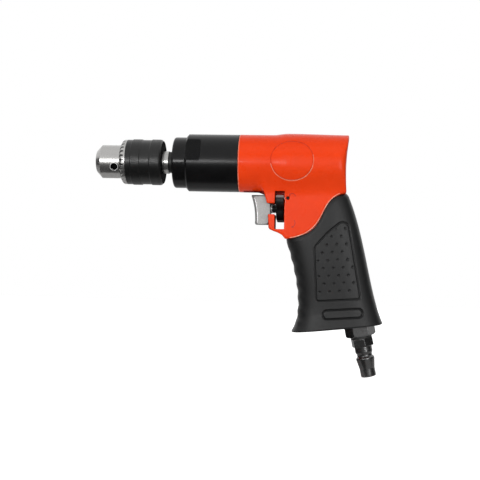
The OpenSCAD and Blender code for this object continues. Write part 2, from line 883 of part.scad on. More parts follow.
module rotor() {
    difference() {
        turned([
            [0, x_shaft], [shaft_front_r - seat_gap, x_shaft], [shaft_front_r - seat_gap, x_front_plate],
            [shaft_front_r, x_front_plate], [shaft_front_r, x_rotor],
            [rotor_r, x_rotor], [rotor_r, x_rotor_end], [shaft_rear_r, x_rotor_end],
            [shaft_rear_r, x_gasket - 0.3], [0, x_gasket - 0.3]
        ]);
        rod_x(x_shaft - 1, shank_len + 1.5, shank_r + seat_gap);
        around(vane_count, 54)
            translate([x_rotor - 1, rotor_r - vane_depth, -vane_t / 2])
                cube([x_rotor_end - x_rotor + 2, vane_depth + 1, vane_t]);
    }
}

module vanes() {
    around(vane_count, 54)
        translate([x_rotor, rotor_r - vane_depth + 0.2, -vane_t / 2 + seat_gap])
            cube([x_rotor_end - x_rotor, vane_depth - 0.3, vane_t - 2 * seat_gap]);
}

module rear_gasket() {
    ring_x(x_gasket, gasket_t, motor_r - 0.2, rear_bearing_od / 2 - 1.6);
}

// Housing

// Red part of the handle seen from the side
module upper_outline() {
    polygon(concat(
        [[-15.3, -6], [-15.2, -20.6], [-12.8, -29.4], [-11.9, -37.5], [-11.3, -45.6]],
        arc([-8.4, -45.9], 3, 190, 250, 4),
        [[-7.1, -49.7], [-4.4, -50.6], [-1.4, -52.2]],
        bezier_points([for (i = [3:-1:0]) seam_curve[i]], 16),
        [[x_crest - hx, -20.5], [x_crest - hx, -6]]
    ));
}

// Barrel circle flaring into the flat sides of the handle
module keyhole() {
    fx = handle_half + handle_fillet;
    fz = -sqrt(pow(barrel_r + handle_fillet, 2) - fx * fx);
    tangent = [fx, fz] * barrel_r / (barrel_r + handle_fillet);
    translate([-handle_half, -handle_drop])
        square([handle_w, handle_drop - 6]);
    for (s = [0, 1])
        mirror([s, 0])
            difference() {
                polygon([[0, -6], tangent, [fx, fz], [0, fz]]);
                translate([fx, fz])
                    circle(r = handle_fillet);
            }
}

module plan_outline() {
    w = 2 * rise_r + 2;
    c = rear_corner_r;
    translate([x_seam - 1, -w / 2])
        square([x_crest - c - x_seam + 1, w]);
    translate([x_seam, -rise_r + c])
        square([x_crest - x_seam, 2 * (rise_r - c)]);
    for (s = [-1, 1])
        translate([x_crest - c, s * (rise_r - c)])
            circle(r = c);
}

module barrel() {
    turned([
        [0, x_seam], [barrel_r - 0.3, x_seam], [barrel_r, x_seam + 0.3], [barrel_r, hx - 10],
        [barrel_r + 0.12 * barrel_rise, hx - 7.5], [barrel_r + 0.5 * barrel_rise, hx - 4],
        [barrel_r + 0.88 * barrel_rise, hx - 0.5], [rise_r, hx + 2], [rise_r, x_crest - 2],
        [rise_r - 0.6, x_crest - 0.6], [rise_r - 2, x_crest], [0, x_crest]
    ]);
}

// Handle core under the rubber, the grip's own loft drawn in by the rubber's thickness
module core(gap, sections) {
    on_handle()
        handle_loft(grip_wall - gap, grip_w / 2 - core_w / 2 - gap, sections, 20);
}

module stadium(reach, half) {
    square([2 * reach, 2 * half], center = true);
    for (s = [-1, 1])
        translate([s * reach, 0])
            circle(r = half);
}

module exhaust_frame() {
    translate([hx + exhaust_x, 0, exhaust_z])
        rotate([0, -atan(foot_slope), 0])
            children();
}

// Pocket for the muffler, split by the rib that holds the diffuser's screw
module exhaust_pocket(gap, z, h) {
    exhaust_frame()
        translate([0, 0, z])
            linear_extrude(height = h)
                difference() {
                    stadium(exhaust_len / 2 - exhaust_w / 2, exhaust_w / 2 - gap);
                    square([exhaust_rib + 2 * gap, exhaust_w + 2], center = true);
                }
}

module badge() {
    centre_z = 0.7;
    difference() {
        rotate([90, 0, 0])
            linear_extrude(height = barrel_d)
                translate([hx + 4.4, centre_z])
                    difference() {
                        polygon(oval(badge_d / 2));
                        polygon(oval(badge_d / 2 - badge_groove));
                    }
        rod_x(x_seam, x_crest - x_seam, rise_r - badge_depth);
        rod_x(x_seam, hx - x_seam - 3, barrel_r - badge_depth + 0.45);
    }
}

// Circle of radius r wrapped on the barrel, seen from the side
function oval(r) = [for (a = [0:10:350]) [r * cos(a), rise_r * sin(r * sin(a) / rise_r * 180 / PI)]];

module housing() {
    difference() {
        union() {
            intersection() {
                union() {
                    barrel();
                    intersection() {
                        on_handle()
                            side(barrel_d + 4)
                                upper_outline();
                        along_x(x_seam, x_crest - x_seam + 5)
                            keyhole();
                    }
                }
                translate([0, 0, -handle_drop])
                    linear_extrude(height = handle_drop + barrel_d)
                        plan_outline();
            }
            core(0, core_sections);
        }
        // Concave back
        translate([x_back + saddle_r, 0, -6])
            rotate([90, 0, 0])
                cylinder(h = 2 * barrel_d, r = saddle_r, center = true, $fn = 96);
        badge();
        // Motor bore and the seat of the gear case's spigot
        rod_x(x_seam - 1, x_motor_end - x_seam + 1, motor_r);
        rod_x(x_seam - 1, x_front_plate - x_seam + 1, spigot_r + seat_gap);
        // Trigger channel, its side window and the lever slot
        translate([hx - 20, -channel_half, trigger_top - trigger_h - 0.7])
            cube([20 - slot_w + 0.1, 2 * channel_half, trigger_h + 1.2]);
        side_cut([hx - 14, valve_z - 4.3], [x_slot + 0.1, valve_z + 3.5]);
        side_cut([x_slot, slot_bottom], [hx, valve_z + lever_hub_d / 2 + face_gap]);
        for (s = [-1, 1])
            translate([x_slot, s > 0 ? slot_web : -barrel_r, valve_z])
                cube([slot_w, barrel_r - slot_web, slot_top - valve_z]);
        // Valve bore, chamber and air passage from the inlet
        on_valve()
            rod_x(hx - 1, x_poppet - hx + 0.9, bushing_r + seat_gap);
        on_valve()
            rod_x(x_poppet - 1, x_chamber_end - x_poppet + 1, chamber_r);
        on_valve()
            rod_x(x_chamber_end - 1, 9, 3);
        on_inlet()
            translate([0, 0, -86])
                cylinder(h = 80, r = passage_r);
        on_inlet()
            translate([0, 0, -inlet_thread_len - 1])
                cylinder(h = inlet_thread_len + 6, r = inlet_thread_r + seat_gap);
        inlet_seat();
        // Air port up to the motor
        translate([x_port, 0, valve_z])
            cylinder(h = valve_drop - motor_r + 2, r = 2.5);
        // Cross pin
        translate([x_cross_pin, 0, cross_pin_z])
            rod_y(-handle_half - 1, handle_w + 2, cross_pin_d / 2 + seat_gap);
        // Exhaust galleries beside the motor, ways past the valve and a chamber over the muffler
        for (s = [-1, 1]) {
            translate([hx + gallery_x, s > 0 ? gallery_in : -exhaust_side, gallery_z])
                cube([gallery_len, exhaust_side - gallery_in, gallery_h]);
            translate([hx + way_x, s > 0 ? way_in : -exhaust_side, way_z])
                cube([way_len, exhaust_side - way_in, gallery_z + 3.4 - way_z]);
        }
        translate([hx + way_x, -exhaust_side, way_z])
            cube([way_len + 2, 2 * exhaust_side, chamber_h]);
        exhaust_pocket(0, -6, exhaust_depth + 6);
        exhaust_frame()
            translate([0, 0, -6])
                linear_extrude(height = diffuser_t + 6)
                    stadium(exhaust_len / 2 - exhaust_w / 2 + 1.2, exhaust_w / 2 + 1.2);
        exhaust_frame()
            cylinder(h = 14, r = diffuser_screw_d / 2 + seat_gap);
    }
}

// Spot face for the inlet's hexagon
module inlet_seat() {
    on_inlet()
        cylinder(h = 10, r = inlet_af / sqrt(3) + 0.4);
}

module side_cut(low, high) {
    translate([low[0], -barrel_r, low[1]])
        cube([high[0] - low[0], barrel_d, high[1] - low[1]]);
}

// Grip

function grip_half(t) = grip_w / 2 + 0.5 * sin(180 * min(1, max(0, t) / 0.8))
    + grip_flare * pow(max(0, t - 0.55) / 0.45, 2);
function grip_ring(t, end_inset, side_inset, sides) = let (
    f = bezier(grip_front, t),
    b = bezier(grip_back, t),
    c = (f + b) / 2,
    h = (b - f) / 2 * (1 - 2 * end_inset / norm(b - f)),
    w = grip_half(t) - side_inset
) [
    for (i = [0:sides - 1]) let (
        a = 360 * (i + 0.5) / sides,
        u = sign(cos(a)) * pow(abs(cos(a)), 0.62),
        v = sign(sin(a)) * pow(abs(sin(a)), 0.62)
    ) [c[0] + h[0] * u, w * v, c[1] + h[1] * u]
];

// Superellipse sections between the handle's front and back curves
module handle_loft(end_inset, side_inset, sections, n) {
    steps = len(sections) - 1;
    rings = [for (t = sections) grip_ring(t, end_inset, side_inset, n)];
    points = [for (r = rings) each r];
    top = [for (i = [n - 1:-1:0]) i];
    bottom = [for (i = [0:n - 1]) steps * n + i];
    walls = [
        for (k = [0:steps - 1], i = [0:n - 1]) let (j = (i + 1) % n)
            each [[k * n + i, (k + 1) * n + j, (k + 1) * n + i], [k * n + i, k * n + j, (k + 1) * n + j]]
    ];
    polyhedron(points = points, faces = concat([top], walls, [bottom]), convexity = 6);
}

module grip_sleeve() {
    difference() {
        intersection() {
            on_handle()
                handle_loft(0, 0, grip_sections, 28);
            on_handle()
                side(60)
                    polygon(concat(
                        [[grip_front[0][0] - 12, seam_curve[3][1] - 0.2]],
                        shifted(bezier_points([for (i = [3:-1:0]) seam_curve[i]], 16), [0.15, -0.2]),
                        [[seam_curve[0][0] + 12, seam_curve[0][1] - 0.2], [90, -140], [-20, -140]]
                    ));
        }
        core(grip_gap, concat([-0.12], core_sections, [1.05]));
        rod_x(x_seam, x_crest + 5 - x_seam, rise_r + grip_gap);
        inlet_seat();
        panel_grooves();
    }
}

// Grooves round the two panels on either side, cut to one depth below the rubber's face
module panel_grooves() {
    on_handle()
        difference() {
            side(2 * grip_w)
                for (panel = [[grip_panel, 3], [foot_panel, 3.7]])
                    difference() {
                        polygon(rounded(panel[0], panel[1], 3));
                        polygon(rounded(drawn_in(panel[0], panel_groove), panel[1] - panel_groove, 3));
                    }
            handle_loft(0, panel_depth, grip_sections, 28);
        }
}

// Trigger and reversing valve

module trigger() {
    top = trigger_top;
    low = trigger_top - trigger_h;
    front = -21.5;
    lip = front - 3.1;
    boss = x_trigger_back - hx;
    difference() {
        intersection() {
            on_handle()
                side(trigger_w)
                    polygon(concat(
                        bezier_points([
                            [lip, top - 0.6], [lip + trigger_hollow, top - 5],
                            [front + trigger_hollow / 8, low + 9.8], [front - 0.2, low + 1.2]
                        ], 8),
                        [[front + 0.4, low], [boss - 2, low], [boss, low + 3]],
                        [[boss, top - 3], [boss - 2, top], [lip + 0.5, top]]
                    ));
            translate([0, 0, low - 5])
                linear_extrude(height = trigger_h + 10)
                    trigger_plan(hx + lip);
        }
        on_valve()
            rod_x(hx + front + 5, 40, stem_d / 2 + seat_gap);
    }
}

module trigger_plan(x) {
    r = 4.2;
    half = trigger_w / 2;
    translate([x + r, -half])
        square([40, trigger_w]);
    translate([x, -half + r])
        square([40, trigger_w - 2 * r]);
    for (s = [-1, 1])
        translate([x + r, s * (half - r)])
            circle(r = r);
}

module trigger_stem() {
    r = stem_d / 2;
    on_valve()
        turned([
            [0, hx - 16.3], [r, hx - 16.3], [r, x_poppet], [poppet_r, x_poppet + 0.9],
            [poppet_r, x_poppet + poppet_t], [1.6, x_poppet + poppet_t], [1.6, x_poppet + poppet_t + 3],
            [0, x_poppet + poppet_t + 3]
        ]);
}

module stem_washer() {
    on_valve()
        ring_x(x_trigger_back, washer_len, washer_r, stem_d / 2 + seat_gap);
}

module poppet_seal() {
    on_valve()
        turned([
            [stem_d / 2 + seat_gap, x_poppet], [stem_d / 2 + 0.6, x_poppet],
            [poppet_r, x_poppet + 0.84], [stem_d / 2 + seat_gap, x_poppet + 0.02]
        ]);
}

// One unbroken wire between the poppet and the end of the chamber
module throttle_spring() {
    rings = 8 * spring_turns;
    sides = 6;
    coil_r = 3.4;
    first = spring_wire / 2 + 0.02;
    rise = spring_len - 2 * first - 0.04;
    points = [
        for (k = [0:rings], i = [0:sides - 1]) let (
            a = 360 * k / 8,
            b = 360 * i / sides,
            r = coil_r + spring_wire / 2 * cos(b)
        ) [x_spring + first + rise * k / rings + spring_wire / 2 * sin(b), r * cos(a), r * sin(a)]
    ];
    walls = [
        for (k = [0:rings - 1], i = [0:sides - 1]) let (
            p = k * sides + i,
            q = k * sides + (i + 1) % sides
        ) each [[p, q, q + sides], [p, q + sides, p + sides]]
    ];
    on_valve()
        polyhedron(
            points = points,
            faces = concat([[for (i = [sides - 1:-1:0]) i]], walls, [[for (i = [0:sides - 1]) rings * sides + i]]),
            convexity = 10
        );
}

module valve_bushing() {
    pin_groove = bushing_r - cross_pin_d / 2 - 0.1;
    bore = reverse_valve_d / 2 + run_gap;
    difference() {
        on_valve()
            turned(concat(
                [[bore, x_bushing], [bushing_r, x_bushing]],
                groove(x_cross_pin - x_bushing, cross_pin_d + 0.2, pin_groove),
                groove(bushing_len / 2 - 3, 1.8, bushing_r - 1.2),
                groove(bushing_len - 3, 1.8, bushing_r - 1.2),
                [
                    [bushing_r, x_bushing + bushing_len], [stem_d / 2 + 1.4, x_bushing + bushing_len],
                    [stem_d / 2 + 1.4, x_bushing + bushing_len - 3], [bore, x_bushing + bushing_len - 3]
                ]
            ));
        translate([x_port, 0, valve_z])
            cylinder(h = bushing_r + 1, r = 1.8);
    }
}

// Square groove in the bushing, as points of its profile
function groove(x, w, r) = [
    [bushing_r, x_bushing + x - w / 2], [r, x_bushing + x - w / 2],
    [r, x_bushing + x + w / 2], [bushing_r, x_bushing + x + w / 2]
];

module valve_o_rings() {
    for (x = [bushing_len / 2 - 3, bushing_len - 3])
        translate([x_bushing + x, 0, valve_z])
            rotate([0, 90, 0])
                rotate_extrude()
                    translate([bushing_r - 0.62, 0])
                        circle(r = 0.54, $fn = 24);
}

module reverse_valve() {
    r = reverse_valve_d / 2;
    difference() {
        on_valve()
            ring_x(x_lever + 2.6, x_bushing + bushing_len - 3.3 - x_lever - 2.6, r, stem_d / 2 + run_gap + 0.4);
        on_valve()
            rotate([lever_angle, 0, 0])
                translate([x_port, 0, 0])
                    cylinder(h = r + 1, r = 1.6);
    }
}

module reverse_lever() {
    half = lever_len / 2;
    tip = lever_h / 2;
    on_valve()
        rotate([-lever_angle, 0, 0])
            difference() {
                along_x(x_lever, lever_t)
                    difference() {
                        union() {
                            stadium(half - tip, tip);
                            circle(r = lever_hub_d / 2);
                        }
                        circle(r = stem_d / 2 + run_gap + 0.4);
                    }
                rod_x(x_lever - 1, 3.3, washer_r + 0.4);
                rod_x(x_lever + 2.6, lever_t, reverse_valve_d / 2 + seat_gap);
            }
}

module retaining_pin() {
    translate([x_cross_pin, 0, cross_pin_z])
        rod_y(-handle_half + 0.8, handle_w - 1.6, cross_pin_d / 2);
}

// Air inlet

module inlet_bushing() {
    on_inlet()
        difference() {
            union() {
                intersection() {
                    linear_extrude(height = inlet_hex_h)
                        hexagon(inlet_af);
                    rotate_extrude()
                        polygon([
                            [0, 0], [inlet_af / 2 + 2, 0], [inlet_af / 2 + 2, inlet_hex_h - 1.4],
                            [inlet_af / 2 - 0.1, inlet_hex_h], [0, inlet_hex_h]
                        ]);
                }
                translate([0, 0, -inlet_thread_len])
                    cylinder(h = inlet_thread_len + 0.5, r = inlet_thread_r);
            }
            translate([0, 0, -inlet_thread_len - 1])
                cylinder(h = inlet_thread_len + inlet_hex_h + 2, r = passage_r);
            translate([0, 0, inlet_hex_h - plug_thread_len - 3])
                cylinder(h = plug_thread_len + 4, r = plug_thread_r + seat_gap);
        }
}

module inlet_washer() {
    on_inlet()
        translate([0, 0, inlet_hex_h])
            rotate_extrude()
                translate([plug_thread_r + 0.1, 0])
                    square([1.2, washer_t]);
}

module inlet_screen() {
    on_inlet()
        translate([0, 0, inlet_hex_h - plug_thread_len - 2.6])
            linear_extrude(height = 1.2)
                difference() {
                    circle(r = screen_r);
                    for (ring = [[1, 0], [6, 1.9], [12, 3.8]])
                        for (i = [0:ring[0] - 1])
                            rotate(360 * i / ring[0])
                                translate([ring[1], 0])
                                    circle(r = 0.6, $fn = 6);
                }
}

module air_plug() {
    base = inlet_hex_h + washer_t;
    foot_z = base + plug_hex_h;
    end = foot_z + plug_len;
    big = plug_barrel_d / 2;
    small = plug_groove_d / 2;
    on_inlet()
        difference() {
            union() {
                translate([0, 0, base])
                    intersection() {
                        linear_extrude(height = plug_hex_h)
                            rotate(plug_turn)
                                hexagon(plug_af);
                        rotate_extrude()
                            polygon([
                                [0, 0], [plug_af / 2 - 0.2, 0], [plug_af / 2 + 1.6, 1],
                                [plug_af / 2 + 1.6, plug_hex_h - 1], [plug_af / 2 - 0.2, plug_hex_h], [0, plug_hex_h]
                            ]);
                    }
                rotate_extrude()
                    polygon([
                        [0, inlet_hex_h - plug_thread_len], [plug_thread_r, inlet_hex_h - plug_thread_len],
                        [plug_thread_r, base], [0, base]
                    ]);
                rotate_extrude()
                    polygon([
                        [0, foot_z - 0.2], [big - 0.4, foot_z - 0.2], [big - 0.4, foot_z + 4.4],
                        [small, foot_z + 5.6], [small, foot_z + 7.2], [big, foot_z + 8.4],
                        [big, foot_z + 9.6], [plug_tip_d / 2, end - 6], [plug_tip_d / 2, end - 0.6],
                        [plug_tip_d / 2 - 0.6, end], [0, end]
                    ]);
            }
            translate([0, 0, inlet_hex_h - plug_thread_len - 1])
                cylinder(h = end, r = plug_bore / 2);
        }
}

// Exhaust

module muffler() {
    exhaust_pocket(0.15, diffuser_t + 0.9, exhaust_depth - diffuser_t - 1.4);
}

module exhaust_diffuser() {
    difference() {
        exhaust_frame()
            linear_extrude(height = diffuser_t)
                difference() {
                    stadium(exhaust_len / 2 - exhaust_w / 2 + 1.1, exhaust_w / 2 + 1.1);
                    for (s = [-1, 1], i = [0:2])
                        translate([s * (4.4 + 2.2 * i), 0])
                            square([1.1, 9 - 1.6 * i], center = true);
                    circle(r = diffuser_screw_d / 2 + run_gap);
                }
        inlet_seat();
    }
}

module diffuser_screw() {
    r = diffuser_screw_d / 2;
    exhaust_frame()
        difference() {
            union() {
                translate([0, 0, -1.4])
                    cylinder(h = 1.4, r = r + 1.2);
                translate([0, 0, -0.2])
                    cylinder(h = 12, r = r);
            }
            translate([0, 0, -1.9])
                linear_extrude(height = 1.3)
                    square([0.8, 8], center = true);
        }
}

color("silver") chuck_body();
color("dimgray") chuck_sleeve();
color("slategray") chuck_nut();
color("gray") chuck_jaw(0);  // chuck_jaw_1
color("gray") chuck_jaw(1);  // chuck_jaw_2
color("gray") chuck_jaw(2);  // chuck_jaw_3
color("black") chuck_screw();
color("silver") spindle();
color("tan") spindle_seal();
color("#202022") gear_case();
color("lightgray") front_bearing_outer();
color("lightgray") front_bearing_inner();
color("goldenrod") front_bearing_balls();
color("lightgray") mid_bearing_outer();
color("lightgray") mid_bearing_inner();
color("goldenrod") mid_bearing_balls();
color("gray") bearing_spacer();
color("silver") planet_pins();
color("darkgray") planet_gear(0);  // planet_gear_1
color("darkgray") planet_gear(1);  // planet_gear_2
color("darkgray") planet_gear(2);  // planet_gear_3
color("gray") carrier_plate();
color("slategray") ring_gear();
color("gray") clamp_spacer();
color("silver") sun_pinion();
color("lightsteelblue") front_end_plate();
color("lightgray") rotor_bearing_outer();
color("lightgray") rotor_bearing_inner();
color("goldenrod") rotor_bearing_balls();
color("lightsteelblue") motor_cylinder();
color("silver") rotor();
color("peru") vanes();
color("silver") cylinder_dowel();
color("lightsteelblue") rear_end_plate();
color("lightgray") rear_bearing_outer();
color("lightgray") rear_bearing_inner();
color("goldenrod") rear_bearing_balls();
color("darkgreen") rear_gasket();
color("orangered") housing();
color("#303030") grip_sleeve();
color("silver") trigger();
color("lightgray") trigger_stem();
color("white") stem_washer();
color("black") poppet_seal();
color("silver") throttle_spring();
color("goldenrod") valve_bushing();
color("black") valve_o_rings();
color("darkgoldenrod") reverse_valve();
color("#181818") reverse_lever();
color("gray") retaining_pin();
color("#282828") inlet_bushing();
color("brown") inlet_washer();
color("gold") inlet_screen();
color("#303030") air_plug();
color("beige") muffler();
color("#202020") exhaust_diffuser();
color("silver") diffuser_screw();
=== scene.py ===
import math

import bmesh
import bpy
import numpy as np
from mathutils import Matrix, Vector


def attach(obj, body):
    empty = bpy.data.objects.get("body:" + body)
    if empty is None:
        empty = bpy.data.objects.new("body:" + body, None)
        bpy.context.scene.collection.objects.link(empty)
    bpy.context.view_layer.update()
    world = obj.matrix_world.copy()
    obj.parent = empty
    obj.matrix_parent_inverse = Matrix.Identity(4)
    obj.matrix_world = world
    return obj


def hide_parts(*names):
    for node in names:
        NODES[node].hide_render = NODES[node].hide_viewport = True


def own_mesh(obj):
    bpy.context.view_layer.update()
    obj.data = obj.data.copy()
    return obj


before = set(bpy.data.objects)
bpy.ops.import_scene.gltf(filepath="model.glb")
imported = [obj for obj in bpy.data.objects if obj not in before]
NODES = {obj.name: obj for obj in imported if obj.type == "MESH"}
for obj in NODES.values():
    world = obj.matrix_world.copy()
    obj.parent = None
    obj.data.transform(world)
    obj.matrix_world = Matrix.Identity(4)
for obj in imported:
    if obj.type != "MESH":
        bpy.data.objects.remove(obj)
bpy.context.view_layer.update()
MM = 0.001

# Stations of the tool in millimetres, as in the part's source
HX = 140.4
X_SEAM = 106.4
X_BACK = 184.0
X_CREST = 186.6
BARREL_R = 21.25
RISE = 1.1
HANDLE_HALF = 14.5
VALVE_Z = -33.0
SEAM = np.array([[45.3, -20.5], [21.1, -24.5], [35.4, -51.5], [1.0, -55.0]])
GRIP_BACK = np.array([[45.3, -20.5], [59.1, -50.0], [62.2, -92.0], [73.0, -115.2]])
GRIP_FRONT = np.array([[1.0, -55.0], [8.5, -75.0], [16.8, -108.0], [6.3, -123.0]])
GRIP_PANEL = [[23.6, -100], [56.7, -97.5], [47, -42.8], [41.1, -40.8], [31, -49.1], [21.4, -60.3]]
SIDES = ((-1, "left"), (1, "right"))

# Round seat of the badge on the left side: its middle, the radius of the barrel's face there and its own
BADGE_X, BADGE_UP, BADGE_FACE_R, BADGE_R = 145.3, 1.5, 22.4, 15.15


def add_object(name, data):
    obj = bpy.data.objects.new(name, data)
    bpy.context.scene.collection.objects.link(obj)
    return obj


# Camera at the photograph's place: 4.5 degrees behind the tool's side, 1.25 degrees of roll

CAMERA_AT = (0.1578, -0.6359, -0.0565)
CAMERA_YAW, CAMERA_ROLL = math.radians(4.5), math.radians(1.25)
CAMERA_LENS, CAMERA_SENSOR, CAMERA_NEAR = 64.65, 36, 0.01


def make_camera():
    forward = Vector((-math.sin(CAMERA_YAW), math.cos(CAMERA_YAW), 0))
    level = Vector((math.cos(CAMERA_YAW), math.sin(CAMERA_YAW), 0))
    above = Vector((0, 0, 1))
    up = math.cos(CAMERA_ROLL) * above - math.sin(CAMERA_ROLL) * level
    right = math.cos(CAMERA_ROLL) * level + math.sin(CAMERA_ROLL) * above
    data = bpy.data.cameras.new("camera")
    data.lens = CAMERA_LENS
    data.sensor_width = CAMERA_SENSOR
    data.clip_start = CAMERA_NEAR
    camera = add_object("camera", data)
    turn = Matrix((right, up, -forward)).transposed().to_4x4()
    camera.matrix_world = Matrix.Translation(CAMERA_AT) @ turn
    bpy.context.scene.camera = camera


# Materials, each under its name

MATERIALS = {}


class Graph:
    """A node material with one principled shader, in the object's own coordinates."""

    def __init__(self, name):
        material = bpy.data.materials.new(name)
        material.use_nodes = True
        MATERIALS[name] = material
        self.tree = material.node_tree
        self.tree.nodes.clear()
        out = self.add("ShaderNodeOutputMaterial")
        self.shader = self.add("ShaderNodeBsdfPrincipled")
        self.tree.links.new(self.shader.outputs[0], out.inputs["Surface"])
        self.place = self.add("ShaderNodeTexCoord").outputs["Object"]

    def add(self, kind, settings=None, **inputs):
        node = self.tree.nodes.new(kind)
        for key, value in (settings or {}).items():
            setattr(node, key, value)
        for key, value in inputs.items():
            self.put(node.inputs[key.replace("_", " ")], value)
        return node

    def put(self, socket, value):
        if isinstance(value, bpy.types.NodeSocket):
            self.tree.links.new(value, socket)
        else:
            socket.default_value = value

    def set(self, **values):
        for key, value in values.items():
            self.put(self.shader.inputs[key.replace("_", " ")], value)

    def mapped(self, scale):
        return self.add("ShaderNodeMapping", Vector=self.place, Scale=scale).outputs[0]

    def noise(self, scale, detail=3.0, rough=0.5, vector=None):
        place = vector or self.place
        node = self.add("ShaderNodeTexNoise", Vector=place, Scale=scale, Detail=detail, Roughness=rough)
        return node.outputs["Fac"]

    def voronoi(self, scale):
        return self.add("ShaderNodeTexVoronoi", Vector=self.place, Scale=scale).outputs["Distance"]

    def ramp(self, fac, dark, light, stops=(0.3, 0.7)):
        node = self.add("ShaderNodeValToRGB", Fac=fac)
        for element, at, colour in zip(node.color_ramp.elements, stops, (dark, light)):
            element.position = at
            element.color = (*colour, 1)
        return node.outputs["Color"]

    def span(self, fac, low, high, from_low=0.0, from_high=1.0):
        ends = {"From_Min": from_low, "From_Max": from_high, "To_Min": low, "To_Max": high}
        return self.add("ShaderNodeMapRange", Value=fac, **ends).outputs[0]

    def math(self, operation, a, b=0.0):
        node = self.add("ShaderNodeMath", {"operation": operation})
        self.put(node.inputs[0], a)
        self.put(node.inputs[1], b)
        return node.outputs[0]

    def times(self, product, *factors):
        for factor in factors:
            product = self.math("MULTIPLY", product, factor)
        return product

    def mix(self, fac, a, b):
        node = self.add("ShaderNodeMix", {"data_type": "RGBA"})
        self.put(node.inputs["Factor"], fac)
        self.put(node.inputs[6], a)
        self.put(node.inputs[7], b)
        return node.outputs[2]

    def axis(self, name):
        return self.add("ShaderNodeSeparateXYZ", Vector=self.place).outputs[name]

    def within(self, value, low, high):
        return self.times(self.math("GREATER_THAN", value, low), self.math("LESS_THAN", value, high))

    def hump(self, value, centre, half):
        """1 at the centre, falling to 0 at half a width from it."""
        off = self.math("ABSOLUTE", self.math("SUBTRACT", value, centre))
        return self.span(off, 1.0, 0.0, half * 0.4, half)

    def bump(self, height, distance, strength, under=None):
        node = self.add("ShaderNodeBump", Height=height, Distance=distance, Strength=strength)
        if under is not None:
            self.put(node.inputs["Normal"], under)
        return node.outputs[0]


def red_paint():
    g = Graph("red_paint")
    x, y, z = (g.axis(name) for name in "XYZ")
    wall_shade_red, front_highlight_red = (0.26, 0.007, 0.001, 1), (0.92, 0.33, 0.22, 1)
    groove_shade_red, lip_highlight_red = (0.42, 0.012, 0.002, 1), (0.95, 0.30, 0.16, 1)
    paint = g.ramp(g.noise(38, 3), (0.82, 0.046, 0.0038), (0.87, 0.053, 0.0048))
    # Inside the lever slot and the trigger channel: rough cast walls, their red darkened as painted shade
    reach = (0.110, 0.1412), (-0.0139, 0.0139), (-0.0486, -0.0203)
    inside = g.times(*(g.within(v, *ends) for v, ends in zip((x, y, z), reach)))
    # Round badge seat on the left side: a fine groove, its red darkened as painted shade, and a painted
    # highlight on its lower lip
    turn = g.times(g.math("ARCTAN2", z, g.times(y, -1.0)), BADGE_FACE_R * MM)
    across, up = g.math("SUBTRACT", x, BADGE_X * MM), g.math("SUBTRACT", turn, BADGE_UP * MM)
    away = g.math("SQRT", g.math("ADD", g.math("POWER", across, 2.0), g.math("POWER", up, 2.0)))
    left = g.math("LESS_THAN", y, 0.0)
    groove = g.times(g.hump(away, BADGE_R * MM, 0.00055), left)
    lip = g.times(g.hump(away, 0.0156, 0.0005), left)
    below = g.math("SUBTRACT", g.times(up, -1.0), g.times(across, -0.35))
    lower_lip_highlight = g.times(lip, g.span(below, 0.0, 1.0, 0.002, 0.014), g.span(g.noise(210, 2), 0.2, 0.9, 0.35, 0.65))
    # Painted highlight along the edge at the gear case, broken up in places
    front = g.times(g.hump(x, 0.1066, 0.0006), g.span(g.noise(300, 2), 0.35, 0.9, 0.35, 0.65))
    colour = g.mix(inside, paint, wall_shade_red)
    colour = g.mix(front, colour, front_highlight_red)
    colour = g.mix(g.times(groove, 0.28), colour, groove_shade_red)
    colour = g.mix(g.times(lower_lip_highlight, 0.85), colour, lip_highlight_red)
    grain = g.bump(g.noise(620, 2), 0.00006, 0.4)
    g.set(
        Base_Color=colour,
        Roughness=g.math("MAXIMUM", g.span(g.noise(160, 4), 0.24, 0.32), g.times(inside, 0.85)),
        Normal=g.bump(groove, -0.0003, 0.6, grain),
        Specular_IOR_Level=0.12,
        Coat_Weight=0.04,
        Coat_Roughness=0.08,
        IOR=1.5,
    )


def finish(name, dark, light, rough=(0.5, 0.7), cloud=(400, 4), stops=(0.3, 0.7), sheen=(700, 3),
           grain=(1500, 3), depth=0.00004, **more):
    """A plain finish: clouded colour, uneven sheen and fine grain."""
    g = Graph(name)
    g.set(
        Base_Color=g.ramp(g.noise(*cloud), dark, light, stops),
        Roughness=g.span(g.noise(*sheen), *rough),
        Normal=g.bump(g.noise(*grain), depth, 0.4),
        **more,
    )


def red_trim(name, dark, light):
    """Red of a painted highlight along an edge of the casting, or of painted shade on a raised mark."""
    finish(name, dark, light, (0.3, 0.45), (240, 4), depth=0.00003, Specular_IOR_Level=0.3)


def black_oxide(name, dark, light, rough, metallic=0.25, level=0.4):
    finish(name, (dark,) * 3, (light,) * 3, rough, (150, 5, 0.6), (0.25, 0.8), (700, 4), (3200, 2), 0.00002,
           Metallic=metallic, Specular_IOR_Level=level)


def plain_metal(name, dark, light, rough=(0.3, 0.45), metallic=1.0):
    finish(name, dark, light, rough, (260, 4), sheen=(900, 3), grain=(3000, 2), depth=0.00001,
           Metallic=metallic)


def black_case(name, level):
    g = Graph(name)
    dark, light = (0.0022, 0.0022, 0.0024), (0.0045, 0.0045, 0.0048)
    lines = g.noise(900, 3, 0.6, g.mapped((1.0, 0.02, 0.02)))
    g.set(
        Base_Color=g.ramp(g.noise(120, 4), dark, light, (0.3, 0.75)),
        Roughness=g.math("ADD", g.span(lines, 0.15, 0.21), g.span(g.axis("X"), 0.0, 0.07, 0.066, 0.069)),
        Normal=g.bump(g.noise(2600, 2), 0.00002, 0.35),
        Specular_IOR_Level=level,
        IOR=1.5,
    )


